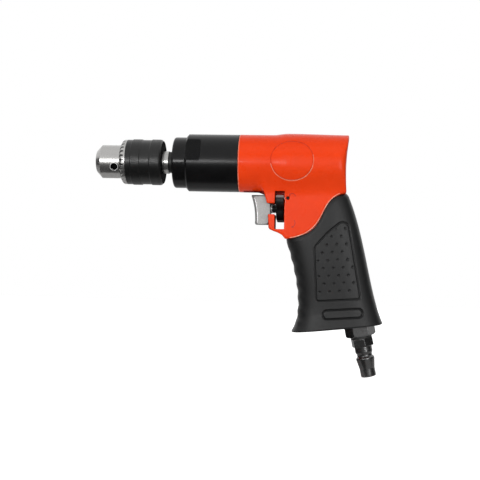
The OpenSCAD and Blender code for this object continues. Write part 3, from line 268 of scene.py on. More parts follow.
def bright_steel(name, covered):
    """Turned steel of the chuck, painted near black as shade where the sleeve covers it and in the key
    holes.
    """
    g = Graph(name)
    x = g.axis("X")
    dark, light, shade_black = (0.415, 0.41, 0.40), (0.47, 0.465, 0.455), (0.006, 0.006, 0.0065, 1)
    lines = g.noise(5200, 4, 0.7, g.mapped((1.0, 0.01, 0.01)))
    streaks = g.noise(900, 3, 0.6, g.mapped((0.05, 1.0, 1.0)))
    radius = g.add("ShaderNodeVectorMath", {"operation": "LENGTH"}, Vector=g.mapped((0.0, 1.0, 1.0)))
    hole = g.times(g.math("LESS_THAN", radius.outputs["Value"], 0.0118), g.within(x, 0.006, 0.03))
    black = g.math("MAXIMUM", g.within(x, *covered), hole)
    g.set(
        Base_Color=g.mix(black, g.ramp(g.mix(0.5, lines, streaks), dark, light, (0.35, 0.65)), shade_black),
        Metallic=g.math("SUBTRACT", 1.0, black),
        Roughness=g.math("MAXIMUM", g.span(g.noise(240, 4), 0.25, 0.29), g.times(black, 0.9)),
        Normal=g.bump(lines, 0.000004, 0.15),
        Specular_IOR_Level=0.05,
    )


def cast_alloy():
    g = Graph("cast_alloy")
    grain = g.noise(1100, 5, 0.65)
    # Near black above a given height: painted shade along the trigger's top
    g.set(
        Base_Color=g.mix(
            g.span(g.axis("Z"), 0.0, 1.0, -0.0244, -0.0240),
            g.ramp(grain, (0.25, 0.247, 0.243), (0.36, 0.356, 0.35)),
            (0.012, 0.010, 0.010, 1),
        ),
        Metallic=0.55,
        Roughness=g.span(g.noise(500, 4), 0.38, 0.55),
        Normal=g.bump(grain, 0.00005, 0.5),
    )


def rubber(name, dark, light, rough, grain):
    g = Graph(name)
    pebble = g.voronoi(grain)
    # Grooves and pits, by the mesh's groove value, are painted near black as shade
    groove = g.add("ShaderNodeAttribute", {"attribute_name": "groove"}).outputs["Fac"]
    plain = g.ramp(g.noise(90, 5, 0.6), dark, light, (0.25, 0.8))
    g.set(
        Base_Color=g.mix(groove, plain, (0.0012, 0.0012, 0.0012, 1)),
        Roughness=g.span(g.noise(380, 4), *rough),
        Normal=g.bump(g.mix(0.5, pebble, g.noise(grain * 0.7, 3)), 0.00006, 0.4),
        Specular_IOR_Level=0.28,
        Sheen_Weight=0.03,
        Sheen_Roughness=0.5,
        IOR=1.5,
    )


def lever_black():
    """Moulded black with a painted highlight along the upper edge of the near tip."""
    g = Graph("lever_black")
    highlight_grey = (0.40, 0.40, 0.40, 1)
    edge = g.span(g.axis("Z"), 0.0, 0.8, -0.0256, -0.0246)
    tip = g.times(g.math("LESS_THAN", g.axis("Y"), -0.0125), edge)
    base = g.ramp(g.noise(400, 4), (0.004,) * 3, (0.008,) * 3)
    g.set(
        Base_Color=g.mix(g.times(tip, g.span(g.noise(500, 2), 0.4, 1.0)), base, highlight_grey),
        Roughness=g.span(g.noise(700, 3), 0.4, 0.6),
        Normal=g.bump(g.noise(1500, 3), 0.00004, 0.4),
        Specular_IOR_Level=0.3,
    )


# Reach of the sleeve over the chuck body, and a reach that no face has
COVERED, NOWHERE = (0.0195, 0.0494), (1.0, 2.0)

red_paint()
red_trim("painted_highlight_red", (0.86, 0.19, 0.10), (0.92, 0.48, 0.36))
red_trim("mark_shade_red", (0.50, 0.018, 0.002), (0.60, 0.025, 0.003))
lever_black()
black_case("case_flat", 0.12)
finish("pin_shade", (0.010, 0.003, 0.002), (0.016, 0.005, 0.003), (0.85, 0.95))
# Light metal of the trigger's stem and washer, and of beads painted as highlights
plain_metal("polished_and_highlight", (0.80,) * 3, (0.92,) * 3, (0.25, 0.4), 0.2)
black_case("black_case", 0.24)
bright_steel("bright_steel", COVERED)
black_oxide("black_oxide", 0.0075, 0.017, (0.32, 0.50))
black_oxide("sleeve_oxide", 0.004, 0.008, (0.27, 0.37), 0.2, 0.5)
black_oxide("plug_oxide", 0.085, 0.125, (0.18, 0.30), 0.95)
bright_steel("ring_steel", NOWHERE)
plain_metal("hard_steel", (0.36,) * 3, (0.52,) * 3)
plain_metal("bearing_steel", (0.6, 0.6, 0.61), (0.72, 0.72, 0.73), (0.12, 0.2))
plain_metal("cast_iron", (0.20,) * 3, (0.32,) * 3, (0.45, 0.6), 0.8)
rubber("grip_rubber", (0.0064, 0.0066, 0.0068), (0.0094, 0.0096, 0.0098), (0.36, 0.48), 1900)
rubber("seal_rubber", (0.012,) * 3, (0.02,) * 3, (0.45, 0.6), 3000)
cast_alloy()
plain_metal("brass", (0.62, 0.44, 0.16), (0.76, 0.57, 0.25), (0.25, 0.4))
finish("vane_resin", (0.24, 0.12, 0.05), (0.36, 0.20, 0.09))
finish("black_plastic", (0.012,) * 3, (0.022,) * 3)
finish("felt", (0.46, 0.42, 0.34), (0.62, 0.58, 0.50), (0.85, 0.95))


# Meshes


def piece(name, points, faces, body, slot, replaces=(), sharp=None, material=None):
    mesh = bpy.data.meshes.new(name)
    mesh.from_pydata((np.asarray(points, float) * MM).tolist(), [], [list(f) for f in faces])
    mesh.polygons.foreach_set("use_smooth", np.ones(len(mesh.polygons), bool))
    if sharp:
        mesh.set_sharp_from_angle(angle=math.radians(sharp))
    mesh.update()
    obj = add_object(name, mesh)
    mesh.materials.append(MATERIALS[material or slot])
    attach(obj, body)
    if replaces:
        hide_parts(*replaces)
    return obj


def step(low, high, x):
    t = np.clip((x - low) / (high - low), 0, 1)
    return t * t * (3 - 2 * t)


def smin(a, b, k):
    h = np.clip(0.5 + 0.5 * (b - a) / k, 0, 1)
    return b + (a - b) * h - k * h * (1 - h)


def smax(a, b, k):
    return -smin(-a, -b, k)


def rotated(a, b, angle):
    """Both coordinates of a point turned by an angle in its plane."""
    c, s = math.cos(angle), math.sin(angle)
    return a * c - b * s, a * s + b * c


def rounded_and(a, b, r):
    """Both shapes at once, with their common edge rounded to radius r."""
    return np.hypot(np.maximum(a + r, 0), np.maximum(b + r, 0)) + np.minimum(np.maximum(a + r, b + r), 0) - r


def outline(x, z, points):
    """Signed distance to a closed outline."""
    best, inside = None, None
    count = len(points)
    for k in range(count):
        ax, az = points[k]
        bx, bz = points[(k + 1) % count]
        ex, ez = bx - ax, bz - az
        wx, wz = x - ax, z - az
        t = np.clip((wx * ex + wz * ez) / (ex * ex + ez * ez), 0, 1)
        square = (wx - ex * t) ** 2 + (wz - ez * t) ** 2
        best = square if best is None else np.minimum(best, square)
        low, high, left = z >= az, z < bz, ex * wz > ez * wx
        flip = (low & high & left) | (~low & ~high & ~left)
        inside = flip if inside is None else inside ^ flip
    return np.where(inside, -1.0, 1.0) * np.sqrt(best)


def box(x, y, z, low, high):
    """Distance field of a box between two corners."""
    sides = [np.abs(v - (a + b) / 2) - (b - a) / 2 for v, a, b in zip((x, y, z), low, high)]
    return np.maximum(np.maximum(sides[0], sides[1]), sides[2])


def bezier(p, t):
    t = np.asarray(t, float)[..., None]
    return (1 - t) ** 3 * p[0] + 3 * (1 - t) ** 2 * t * p[1] + 3 * (1 - t) * t * t * p[2] + t**3 * p[3]


CORNERS = np.array([[i, j, k] for i in (0, 1) for j in (0, 1) for k in (0, 1)])
EDGES = [(a, b) for a in range(8) for b in range(a + 1, 8) if np.abs(CORNERS[a] - CORNERS[b]).sum() == 1]


def surface(field, low, high, pitch):
    """Quads on the zero surface of a field: one point in each crossed cell, drawn onto the surface."""
    axes = [np.arange(a, b + pitch, pitch) for a, b in zip(low, high)]
    value = field(axes[0][:, None, None], axes[1][None, :, None], axes[2][None, None, :])
    value = np.ascontiguousarray(np.broadcast_to(value, [len(a) for a in axes])).astype(np.float32)
    solid = value < 0
    size = np.array(value.shape) - 1
    count = np.zeros(size, np.int8)
    for i, j, k in CORNERS:
        count += solid[i : i + size[0], j : j + size[1], k : k + size[2]]
    cells = np.argwhere((count > 0) & (count < 8))
    index = np.full(size, -1, np.int32)
    index[tuple(cells.T)] = np.arange(len(cells))
    corner = np.stack([value[tuple((cells + c).T)] for c in CORNERS], 1)
    total, hits = np.zeros((len(cells), 3)), np.zeros(len(cells))
    for a, b in EDGES:
        va, vb = corner[:, a], corner[:, b]
        cross = (va < 0) != (vb < 0)
        t = np.where(cross, va / np.where(cross, va - vb, 1), 0)[:, None]
        total += np.where(cross[:, None], CORNERS[a] + t * (CORNERS[b] - CORNERS[a]), 0)
        hits += cross
    points = np.array([a[0] for a in axes]) + pitch * (cells + total / hits[:, None])
    quads = []
    for axis in range(3):
        u, v = (axis + 1) % 3, (axis + 2) % 3
        first = [slice(None)] * 3
        second = [slice(None)] * 3
        first[axis], second[axis] = slice(0, -1), slice(1, None)
        near, far = solid[tuple(first)], solid[tuple(second)]
        at = np.argwhere(near != far)
        at = at[(at[:, u] > 0) & (at[:, v] > 0) & (at[:, u] < size[u]) & (at[:, v] < size[v])]
        du, dv = np.eye(3, dtype=int)[u], np.eye(3, dtype=int)[v]
        ring = np.stack([index[tuple((at - s).T)] for s in (du + dv, dv, 0 * du, du)], 1)
        leaves = near[tuple(at.T)]
        quads.append(np.where(leaves[:, None], ring, ring[:, ::-1]))
    quads = np.concatenate(quads)
    quads = quads[(quads >= 0).all(1)]
    for _ in range(3):
        d, slope = gradient(field, points)
        points -= np.clip(d / np.maximum((slope**2).sum(1), 0.2), -pitch, pitch)[:, None] * slope
    return points, quads


def gradient(field, p, e=0.02):
    d = field(*p.T)
    slope = np.stack([(field(*(p + e * s).T) - field(*(p - e * s).T)) / (2 * e) for s in np.eye(3)], 1)
    return d, slope


def turned(name, profile, body, slot, columns, spacing, replaces=(), relief=None, height=0.0, **more):
    """A closed profile of (x, r) stations turned about an axis along X, with relief added to its radius."""
    pairs = list(zip(profile, profile[1:] + profile[:1]))
    rows = []
    for (x0, r0), (x1, r1) in pairs:
        count = max(1, round(math.hypot(x1 - x0, r1 - r0) / spacing))
        rows += [(x0 + (x1 - x0) * i / count, r0 + (r1 - r0) * i / count) for i in range(count)]
    x, r = np.array(rows).T[:, :, None]
    a = np.arange(columns) * 2 * np.pi / columns
    if relief:
        r = r + relief(x, r, a)
    points = np.stack(np.broadcast_arrays(x, r * np.cos(a), r * np.sin(a) + height), 2)
    grid = np.arange(points[..., 0].size).reshape(points.shape[:2])
    down, across = np.roll(grid, -1, 0), np.roll(grid, -1, 1)
    faces = np.stack([grid, across, np.roll(down, -1, 1), down], 2).reshape(-1, 4)
    if sum(x0 * r1 - x1 * r0 for (x0, r0), (x1, r1) in pairs) > 0:
        faces = faces[:, ::-1]
    return piece(name, points.reshape(-1, 3), faces, body, slot, replaces, **more)


def tube_faces(rows, columns, turned_over=False):
    """Quads between the rings of a tube. Turned over, they face the other way."""
    grid = np.arange(rows * columns).reshape(rows, columns)
    across = np.roll(grid, -1, 1)
    corners = [grid[:-1], grid[1:], across[1:], across[:-1]]
    if turned_over:
        corners = corners[:1] + corners[:0:-1]
    return np.stack(corners, 2).reshape(-1, 4)


def rod_faces(rows, columns):
    """Quads of a tube, with a face on each of its ends."""
    count = rows * columns
    ends = [list(range(columns)), list(range(count - columns, count))[::-1]]
    return tube_faces(rows, columns).tolist() + ends


def bead(name, path, radius, body, slot, sides=8, **more):
    """A fine rod along a path of x, y and z, thin at its ends."""
    path = np.stack(np.broadcast_arrays(*path), 1)
    along = np.gradient(path, axis=0)
    along /= np.linalg.norm(along, axis=1)[:, None]
    first = np.cross(along, (0.0, 1.0, 0.0))
    first /= np.linalg.norm(first, axis=1)[:, None]
    second = np.cross(along, first)
    a = np.arange(sides) * 2 * np.pi / sides
    ring = first[:, None] * np.cos(a)[:, None] + second[:, None] * np.sin(a)[:, None]
    taper = np.full(len(path), float(radius))
    taper[[0, -1]] *= 0.3
    points = path[:, None] + taper[:, None, None] * ring
    return piece(name, points.reshape(-1, 3), rod_faces(len(path), sides), body, slot, **more)


# Chuck sleeve: bevel teeth, two knurled bands and fine lines before them

X_SLEEVE_END = 49.5
NOSE_R = 12.3
X_TEETH, TEETH, TOOTH_LONG, TOOTH_DEEP = 18.3, 30, 3.6, 1.9
KNURLS, KNURL_LEAN, KNURL_DEEP = 144, 8.7, 0.05
KNURL_BANDS, BAND_EDGE = ((27.3, 33.6), (41.4, 47.9)), 0.6
X_LINES, LINE_PITCH, LINE_DEEP = 23.9, 0.9, 0.06
KEY_HOLES, KEY_X, KEY_R, KEY_FIRST, KEY_RIM = 3, 14.4, 2.85, 82, 0.16


def tooth_relief(x, r, a):
    """V spaces between the teeth, which stop short of the chuck's nose."""
    back = x - X_TEETH
    phase = np.abs((a * TEETH / (2 * np.pi) + 0.5) % 1 - 0.5)
    wide = 0.34 - 0.27 * np.clip(back / TOOTH_LONG, 0, 1)
    space = np.clip((wide - phase) / 0.06 + 0.5, 0, 1)
    outside = r > 12.75 + 1.2 * np.minimum(back, 2.8)
    cut = -TOOTH_DEEP * space * (1 - step(21.5, 22.1, x)) * outside
    return np.maximum(cut, np.minimum(NOSE_R + 0.15 - r, 0))


def knurl_relief(x, r, a):
    band = sum(step(low, low + BAND_EDGE, x) * step(high, high - BAND_EDGE, x) for low, high in KNURL_BANDS)
    cross = np.maximum(np.cos(KNURLS * a + KNURL_LEAN * x), np.cos(KNURLS * a - KNURL_LEAN * x))
    line = LINE_DEEP * np.cos(2 * np.pi * (x - X_LINES) / LINE_PITCH)
    line = line * step(23.7, 24.0, x) * step(27.0, 26.6, x)
    return (-KNURL_DEEP * (0.5 + 0.5 * cross) * band - np.abs(line)) * (r > 15.9)


def make_sleeve():
    ring = [(X_TEETH, 12.5), (X_TEETH, 12.9), (18.8, 14.1), (19.4, 15.2), (20.0, 16.05), (20.6, 16.4)]
    ring += [(21.2, 16.5), (23.1, 16.55), (23.1, 15.8), (20.9, 15.5), (19.4, 12.6)]
    turned("tooth_ring", ring, "sleeve", "bright_steel", columns=720, spacing=0.25, relief=tooth_relief,
           replaces=["chuck_sleeve"], material="ring_steel", sharp=50)
    # Painted glints: light rings round the key holes
    t = np.linspace(0, 2 * np.pi, 49)
    for number in range(KEY_HOLES):
        a = math.radians(KEY_FIRST + 360 / KEY_HOLES * number) + KEY_R * np.sin(t) / NOSE_R
        path = KEY_X + KEY_R * np.cos(t), NOSE_R * np.cos(a), NOSE_R * np.sin(a)
        name = f"key_hole_glint_{number + 1}"
        bead(name, path, KEY_RIM, "spindle", "bright_steel", material="polished_and_highlight")
    # The sleeve's front cone, black like the rest of it, lies under the tooth ring and shows in the spaces
    # between the teeth as their painted shade
    cone = [(18.4, 12.4), (18.9, 13.5), (19.4, 14.5), (19.95, 15.53), (20.6, 15.9), (23.05, 16.0)]
    skin = [(23.15, 16.4), (23.4, 16.6), (27.0, 16.6), (27.3, 16.95), (33.6, 16.95), (34.1, 16.5)]
    rear = [(41.0, 16.5), (41.5, 16.95), (47.4, 16.95), (48.3, 16.7), (49.0, 16.1), (X_SLEEVE_END, 15.7)]
    bore = [(X_SLEEVE_END, 15.62), (19.9, 15.5), (19.9, 12.4)]
    turned("sleeve_body", cone + skin + rear + bore, "sleeve", "black_oxide", columns=1152, spacing=0.22,
           relief=knurl_relief, replaces=["chuck_sleeve"], material="sleeve_oxide", sharp=50)


# Gear case with its two spanner flats

X_CASE = 58.0
X_NOSE = X_CASE + 9.7
CASE_R, CASE_CHAMFER, CASE_BORE_R, SEAM_CHAMFER = 21.15, 1.4, 18.0, 0.35
NOSE_CASE_R, NOSE_EDGE, NOSE_WALL, MOUTH_R = 18.8, 1.6, 4, 13.0
FLAT_TILT = math.radians(25.5)
FLAT_OUT, FLAT_LONG, FLAT_HALF, FLAT_CORNER = 19.3, 11.4, 9.1, 3.0
# How far in from the flat's outline each ring of its face lies, and how high over the flat
FLAT_RINGS = ((0.3, -0.3), (0.3, 0.0), (0.45, 0.04))


def case_outline():
    """Half section of the case, as stations and radii."""
    edge = [NOSE_EDGE * np.array([1 - math.cos(b), math.sin(b) - 1]) for b in np.linspace(0, math.pi / 2, 6)]
    nose = [(X_CASE, MOUTH_R)] + [(X_CASE + dx, NOSE_CASE_R + dr) for dx, dr in edge]
    step_up = [(X_NOSE, NOSE_CASE_R), (X_NOSE, CASE_R - CASE_CHAMFER), (X_NOSE + CASE_CHAMFER, CASE_R)]
    rear = [(X_SEAM - SEAM_CHAMFER, CASE_R), (X_SEAM, CASE_R - SEAM_CHAMFER), (X_SEAM, CASE_BORE_R)]
    return nose + step_up + rear + [(X_CASE + NOSE_WALL, CASE_BORE_R), (X_CASE + NOSE_WALL, MOUTH_R)]


CASE = case_outline()


def case_field(x, y, z):
    body = outline(x, np.sqrt(y * y + z * z), CASE)
    out, across = rotated(y, z, FLAT_TILT)
    spot = rounded_and(x - X_NOSE - FLAT_LONG, np.abs(across) - FLAT_HALF, FLAT_CORNER)
    for side, _ in SIDES:
        body = smax(body, -np.maximum(FLAT_OUT - side * out, spot), 0.25)
    return body


def make_case():
    shell = surface(case_field, (57.3, -21.8, -21.8), (107.0, 21.8, 21.8), 0.38)
    piece("case_shell", *shell, "housing", "black_case", ["gear_case"], sharp=55)


def make_flats():
    """Machined faces of the two spanner flats, duller than the turned case."""
    u = np.linspace(0, CASE_CHAMFER, 6)
    lower = list(zip(u, -np.sqrt((CASE_R - CASE_CHAMFER + u) ** 2 - FLAT_OUT**2)))
    far, half = FLAT_LONG - FLAT_CORNER, FLAT_HALF - FLAT_CORNER
    first = math.asin((-lower[-1][1] - half) / FLAT_CORNER)
    for b in np.linspace(first, 0, 9):
        lower.append((far + FLAT_CORNER * math.cos(b), -half - FLAT_CORNER * math.sin(b)))
    shape = np.array(lower + [(a, -b) for a, b in lower[::-1]])
    middle = shape.mean(0)
    reach = np.linalg.norm(shape - middle, axis=1)
    count = len(shape)
    for side, mark in SIDES:
        points = []
        for inset, rise in FLAT_RINGS:
            ring = middle + (shape - middle) * (1 - inset / reach)[:, None]
            y, z = rotated(side * (FLAT_OUT + rise), ring[:, 1], -FLAT_TILT)
            points += list(zip(X_NOSE + ring[:, 0], y, z))
        around = tube_faces(len(FLAT_RINGS), count, True).tolist()
        faces = [list(range(2 * count, 3 * count))] + around + [list(range(count))[::-1]]
        faces = [f if side < 0 else f[::-1] for f in faces]
        piece(f"case_flat_{mark}", points, faces, "housing", "black_case", sharp=30, material="case_flat")


# Housing

CREST_FALL, PLAN_CORNER, SADDLE_R, SADDLE_Z = 0.6, 11, 130, -6
# Boxes cut from the casting, each by its low and high corner
CHANNEL = (110, -8.4, -45.6), (HX - 6.8, 8.4, -22.9)
WINDOW = (HX - 16, -40, VALVE_Z - 4.3), (HX - 6.8, 40, VALVE_Z + 3.5)
SLOT = (HX - 6.9, -40, -48.0), (HX, 40, -24.2)
CHEEK, CHEEK_IN = ((HX - 6.9, -40, -30.0), (HX, 40, -20.6)), 9
# Bores for valve and throttle by radius, middle and half length, for motor and case by radius and end
VALVE_BORES = (7.55, HX + 10, 11), (5.9, HX + 27, 7.6)
MOTOR_BORES = (17.5, 178.2), (18.85, 116.7)
PIN_X, PIN_Z, PIN_R = HX + 2.4, -25.5, 1.25
FOOT_TOP = -90


def upper_outline():
    """Red part of the handle from the side, from the lugs round to the back."""
    arc = [(-8.4 + 3 * math.cos(a), -45.9 + 3 * math.sin(a)) for a in np.radians(np.linspace(190, 250, 8))]
    front = [(-15.3, -6), (-15.2, -20.6), (-12.8, -29.4), (-11.9, -37.5), (-11.3, -45.6)]
    rest = [(-7.1, -49.7), (-4.4, -50.6), (-1.4, -52.2)]
    seam = [tuple(p) for p in bezier(SEAM, np.linspace(1, 0, 40))]
    end = [(X_CREST - HX + 2, -20.5), (X_CREST - HX + 2, -6)]
    return [(HX + x, z) for x, z in front + arc + rest + seam + end]


UPPER = upper_outline()


def housing_field(x, y, z):
    r = np.sqrt(y * y + z * z)
    skin = BARREL_R + RISE * step(HX - 10, HX + 2, x) - CREST_FALL * step(HX + 5, X_CREST, x)
    plan = rounded_and(x - X_CREST, np.abs(y) - (BARREL_R + RISE + 0.3), PLAN_CORNER)
    barrel = smax(r - skin, plan, 1.2)
    handle = rounded_and(outline(x, z, UPPER), np.abs(y) - HANDLE_HALF, 1.3)
    body = smin(barrel, smax(handle, plan, 2.0), 6.0)
    saddle = SADDLE_R - np.hypot(x - X_BACK - SADDLE_R, z - SADDLE_Z)
    body = smax(body, saddle, 1.8)
    body = smax(body, X_SEAM - x, 0.6)
    body = smax(body, -box(x, y, z, *CHANNEL), 0.7)
    body = smax(body, -box(x, y, z, *WINDOW), 0.9)
    cheek = np.maximum(box(x, y, z, *CHEEK), CHEEK_IN - np.abs(y))
    body = smax(body, -np.minimum(box(x, y, z, *SLOT), cheek), 0.5)
    off = np.hypot(y, z - VALVE_Z)
    valve, throttle = (np.maximum(off - radius, np.abs(x - at) - half) for radius, at, half in VALVE_BORES)
    body = smax(body, -np.minimum(valve, throttle), 0.3)
    pin = np.hypot(x - PIN_X, z - PIN_Z) - PIN_R
    body = smax(body, -np.broadcast_to(pin, body.shape), 0.4)
    motor, case = (np.maximum(r - radius, x - end) for radius, end in MOTOR_BORES)
    return np.maximum(body, -np.minimum(motor, case))


def make_housing():
    shell = surface(housing_field, (105.6, -23.4, -57.5), (188.4, 23.4, 23.4), 0.5)
    piece("housing_shell", *shell, "housing", "red_paint", ["housing"])
    # Lower end of the CAD casting, inside the rubber
    mesh = NODES["housing"].data.copy()
    bm = bmesh.new()
    bm.from_mesh(mesh)
    cut = bm.verts[:] + bm.edges[:] + bm.faces[:]
    top = (0, 0, FOOT_TOP * MM)
    bmesh.ops.bisect_plane(bm, geom=cut, plane_co=top, plane_no=(0, 0, 1), clear_outer=True)
    bm.to_mesh(mesh)
    bm.free()
    mesh.materials.clear()
    mesh.materials.append(MATERIALS["red_paint"])
    foot = add_object("housing_foot", mesh)
    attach(foot, "housing")
    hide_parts("housing")


# Grip

GRIP_HALF, GRIP_SWELL, GRIP_FLARE, GRIP_POWER = 16.2, 0.5, 2.0, 0.62
LIP_R, RIM_R, CORE_INSET = 0.7, 1.3, 2.6
# How far inside the face each ring of the turned-in ends lies, and how far above the end
TOP_RINGS = ((2.2, -1.5), (1.4, -0.3), (0.5, 0.0))
FOOT_RINGS = ((0.6, 0.0), (1.8, 0.0), (1.85, 3.0))
STADIUM_AT, STADIUM_RUN, STADIUM_R = (32.25, -108.74), (22.2, 1.78), 3.85
PIT_TILT, PIT_FIRST, PIT_PITCH, PIT_DEEP = math.radians(-4.5), (1.6, 0.6), (7.05, 5.6), 0.45
RIB_PITCH, RIB_HIGH = 9.4, 0.28


def grip_half(t):
    flare = GRIP_FLARE * (np.maximum(0, t - 0.55) / 0.45) ** 2
    return GRIP_HALF + GRIP_SWELL * np.sin(np.pi * np.minimum(1, np.maximum(0, t) / 0.8)) + flare


def fuller(c):
    """A cosine or sine bent so that the section gets fuller corners than an ellipse."""
    return np.sign(c) * np.abs(c) ** GRIP_POWER


def grip_point(t, a, inset=0.0):
    """Point of the grip a share t down it and at an angle a round it, some way inside its plain face."""
    front, back = bezier(GRIP_FRONT, t), bezier(GRIP_BACK, t)
    centre, reach = (front + back) / 2, (back - front) / 2
    length = np.linalg.norm(back - front, axis=-1)
    reach = reach * (1 - 2 * inset / length)[..., None]
    xz = centre + reach * fuller(np.cos(a))[..., None]
    return np.stack([HX + xz[..., 0], (grip_half(t) - inset) * fuller(np.sin(a)), xz[..., 1]], -1)


def seam_height(x):
    """Height of the S-shaped seam at a place along the tool."""
    curve = bezier(SEAM, np.linspace(0, 1, 400))
    order = np.argsort(curve[:, 0])
    return np.interp(x - HX, curve[order, 0], curve[order, 1])


def rounded(points, d):
    """An outline with its corners rounded from a distance d before to a distance d after each."""
    points = np.asarray(points, float)
    made = []
    for k, q in enumerate(points):
        p, s = points[k - 1], points[(k + 1) % len(points)]
        a = q + d * (p - q) / np.linalg.norm(p - q)
        b = q + d * (s - q) / np.linalg.norm(s - q)
        made += [tuple((1 - t) ** 2 * a + 2 * t * (1 - t) * q + t * t * b) for t in np.linspace(0, 1, 6)]
    return made


def quarter_round(d, r):
    """Inset of an edge rounded to radius r, at a distance d from its end."""
    return r * (1 - np.sqrt(np.clip(1 - (1 - np.minimum(d / r, 1)) ** 2, 0, 1)))


def grip_relief(x, y, z, u):
    """Height of the moulded detail over the rubber's face, and how deep in a groove or pit a point lies."""
    px = x - HX
    panel = outline(px, z, rounded(GRIP_PANEL, 3))
    dx, dz = px - STADIUM_AT[0], z - STADIUM_AT[1]
    rx, rz = STADIUM_RUN
    along = np.clip((dx * rx + dz * rz) / (rx**2 + rz**2), 0, 1)
    stadium = np.hypot(dx - rx * along, dz - rz * along) - STADIUM_R
    side = step(0.80, 0.9, np.abs(y) / GRIP_HALF)
    height, deep = np.zeros_like(x), np.zeros_like(x)
    for d, depth in ((panel, 0.7), (stadium, 0.9)):
        line = (0.5 + 0.5 * np.cos(np.pi * np.clip(np.abs(d + 0.7) / 0.85, 0, 1))) * side
        height -= depth * line
        deep = np.maximum(deep, line * (depth - 0.1))
    du, dv = (v - first for v, first in zip(rotated(px, z, PIT_TILT), PIT_FIRST))
    row = np.round(dv / PIT_PITCH[1])
    shift = 0.5 * (row % 2)
    col = np.round(du / PIT_PITCH[0] - shift) + shift
    dot = np.hypot(du - PIT_PITCH[0] * col, dv - PIT_PITCH[1] * row)
    pit = step(1.15, 0.35, dot) * step(-2.0, -2.7, panel) * side
    height -= PIT_DEEP * pit
    deep = np.maximum(deep, 0.4 * pit)
    ribs = RIB_HIGH * np.cos(2 * np.pi * (z + 60) / RIB_PITCH)
    height += ribs * step(-0.72, -0.95, u) * step(-56, -66, z) * step(-118, -112, z)
    return height, deep


def make_grip():
    columns, rows = 420, 260
    # Columns spread evenly round the section at mid height
    fine = np.linspace(0, 2 * np.pi, 6001)
    loop = grip_point(np.full(fine.shape, 0.5), fine)
    run = np.concatenate([[0], np.cumsum(np.linalg.norm(np.diff(loop, axis=0), axis=1))])
    a = np.interp(np.arange(columns) / columns * run[-1], run, fine)
    # Where each column meets the seam
    low, high = np.full(columns, -0.2), np.full(columns, 0.4)
    for _ in range(40):
        mid = (low + high) / 2
        p = grip_point(mid, a)
        above = p[:, 2] > seam_height(p[:, 0]) - 0.25
        low, high = np.where(above, mid, low), np.where(above, high, mid)
    first = (low + high) / 2
    t = first + (1 - first) * np.linspace(0, 1, rows)[:, None]
    angle = np.broadcast_to(a, t.shape)
    plain = grip_point(t, angle)
    gaps = np.linalg.norm(np.diff(plain, axis=0), axis=2)
    down = np.concatenate([np.zeros((1, columns)), np.cumsum(gaps, 0)])
    up = down[-1] - down
    lip = 0.5 * (1 - step(0, 3.0, down)) + quarter_round(down, LIP_R)
    rim = quarter_round(up, RIM_R)
    shell = grip_point(t, angle, lip + rim)
    along = np.gradient(shell, axis=0)
    around = (np.roll(shell, -1, 1) - np.roll(shell, 1, 1)) / 2
    normal = np.cross(around, along)
    normal /= np.linalg.norm(normal, axis=2)[..., None]
    outward = np.sign((normal * (shell - shell.mean(1, keepdims=True))).sum(2).mean())
    fade = step(0.6, 2.4, down) * step(0.8, 2.4, up)
    height, deep = grip_relief(*np.moveaxis(shell, 2, 0), fuller(np.cos(angle)))
    shell = shell + normal * outward * (height * fade)[..., None]
    top = [grip_point(t[0], a, lip[0] + inset) + (0, 0, rise) for inset, rise in TOP_RINGS]
    foot = [grip_point(t[-1], a, rim[-1] + inset) + (0, 0, rise) for inset, rise in FOOT_RINGS]
    rings = np.concatenate([np.stack(top), shell, np.stack(foot)])
    faces = tube_faces(len(rings), columns)
    if outward > 0:
        faces = faces[:, ::-1]
    grip = piece("grip_rubber", rings.reshape(-1, 3), faces, "housing", "grip_rubber", ["grip_sleeve"])
    # How deep each point lies in a groove or pit, kept for the rubber's painted shade
    shade = np.zeros(rings.shape[:2])
    shade[len(TOP_RINGS) : -len(FOOT_RINGS)] = deep * fade
    groove = grip.data.attributes.new("groove", "FLOAT", "POINT")
    groove.data.foreach_set("value", shade.ravel().astype(np.float32))


def make_core():
    """Handle core of the casting, which the rubber covers from the seam down, and fine beads painted as
    highlights along the seam's edges.
    """
    t = np.linspace(-0.06, 0.62, 40)[:, None]
    a = np.linspace(0, 2 * np.pi, 121)[:-1][None, :]
    t, a = np.broadcast_arrays(t, a)
    points = grip_point(t, a, CORE_INSET)
    faces = tube_faces(*t.shape, True)
    piece("handle_core", points.reshape(-1, 3), faces, "housing", "red_paint", ["housing"])
    # Painted highlights: light beads along both edges of the seam
    seam = bezier(SEAM, np.linspace(0.08, 0.97, 60))
    way = np.gradient(seam, axis=0)
    way /= np.linalg.norm(way, axis=1)[:, None]
    seam = seam + 0.55 * np.stack([way[:, 1], -way[:, 0]], 1)
    for side, mark in SIDES:
        path = HX + seam[:, 0], side * (HANDLE_HALF - 0.2), seam[:, 1]
        bead(f"seam_highlight_{mark}", path, 0.38, "housing", "red_paint", material="painted_highlight_red")


# Direction marks on both sides of the slot, raised in the casting, and the badge's seat

# Each mark's middle, radius, first angle and last angle
ARROWS = {"arrow_up": ((145.9, -24.6), 2.4, 10, 130), "arrow_down": ((145.0, -43.4), 3.3, 40, -55)}
ARROW_WIDE, ARROW_RISE, ARROW_SUNK = 0.6, 0.16, 0.3
# Each lip's radius, first angle, last angle, thickness and look: painted shade all round, and a painted
# highlight on the lower part
LIPS = {
    "badge_lip": (BADGE_R, 0, 360, 0.14, "mark_shade_red"),
    "badge_lip_highlight": (BADGE_R + 0.2, 190, 375, 0.19, "painted_highlight_red"),
}


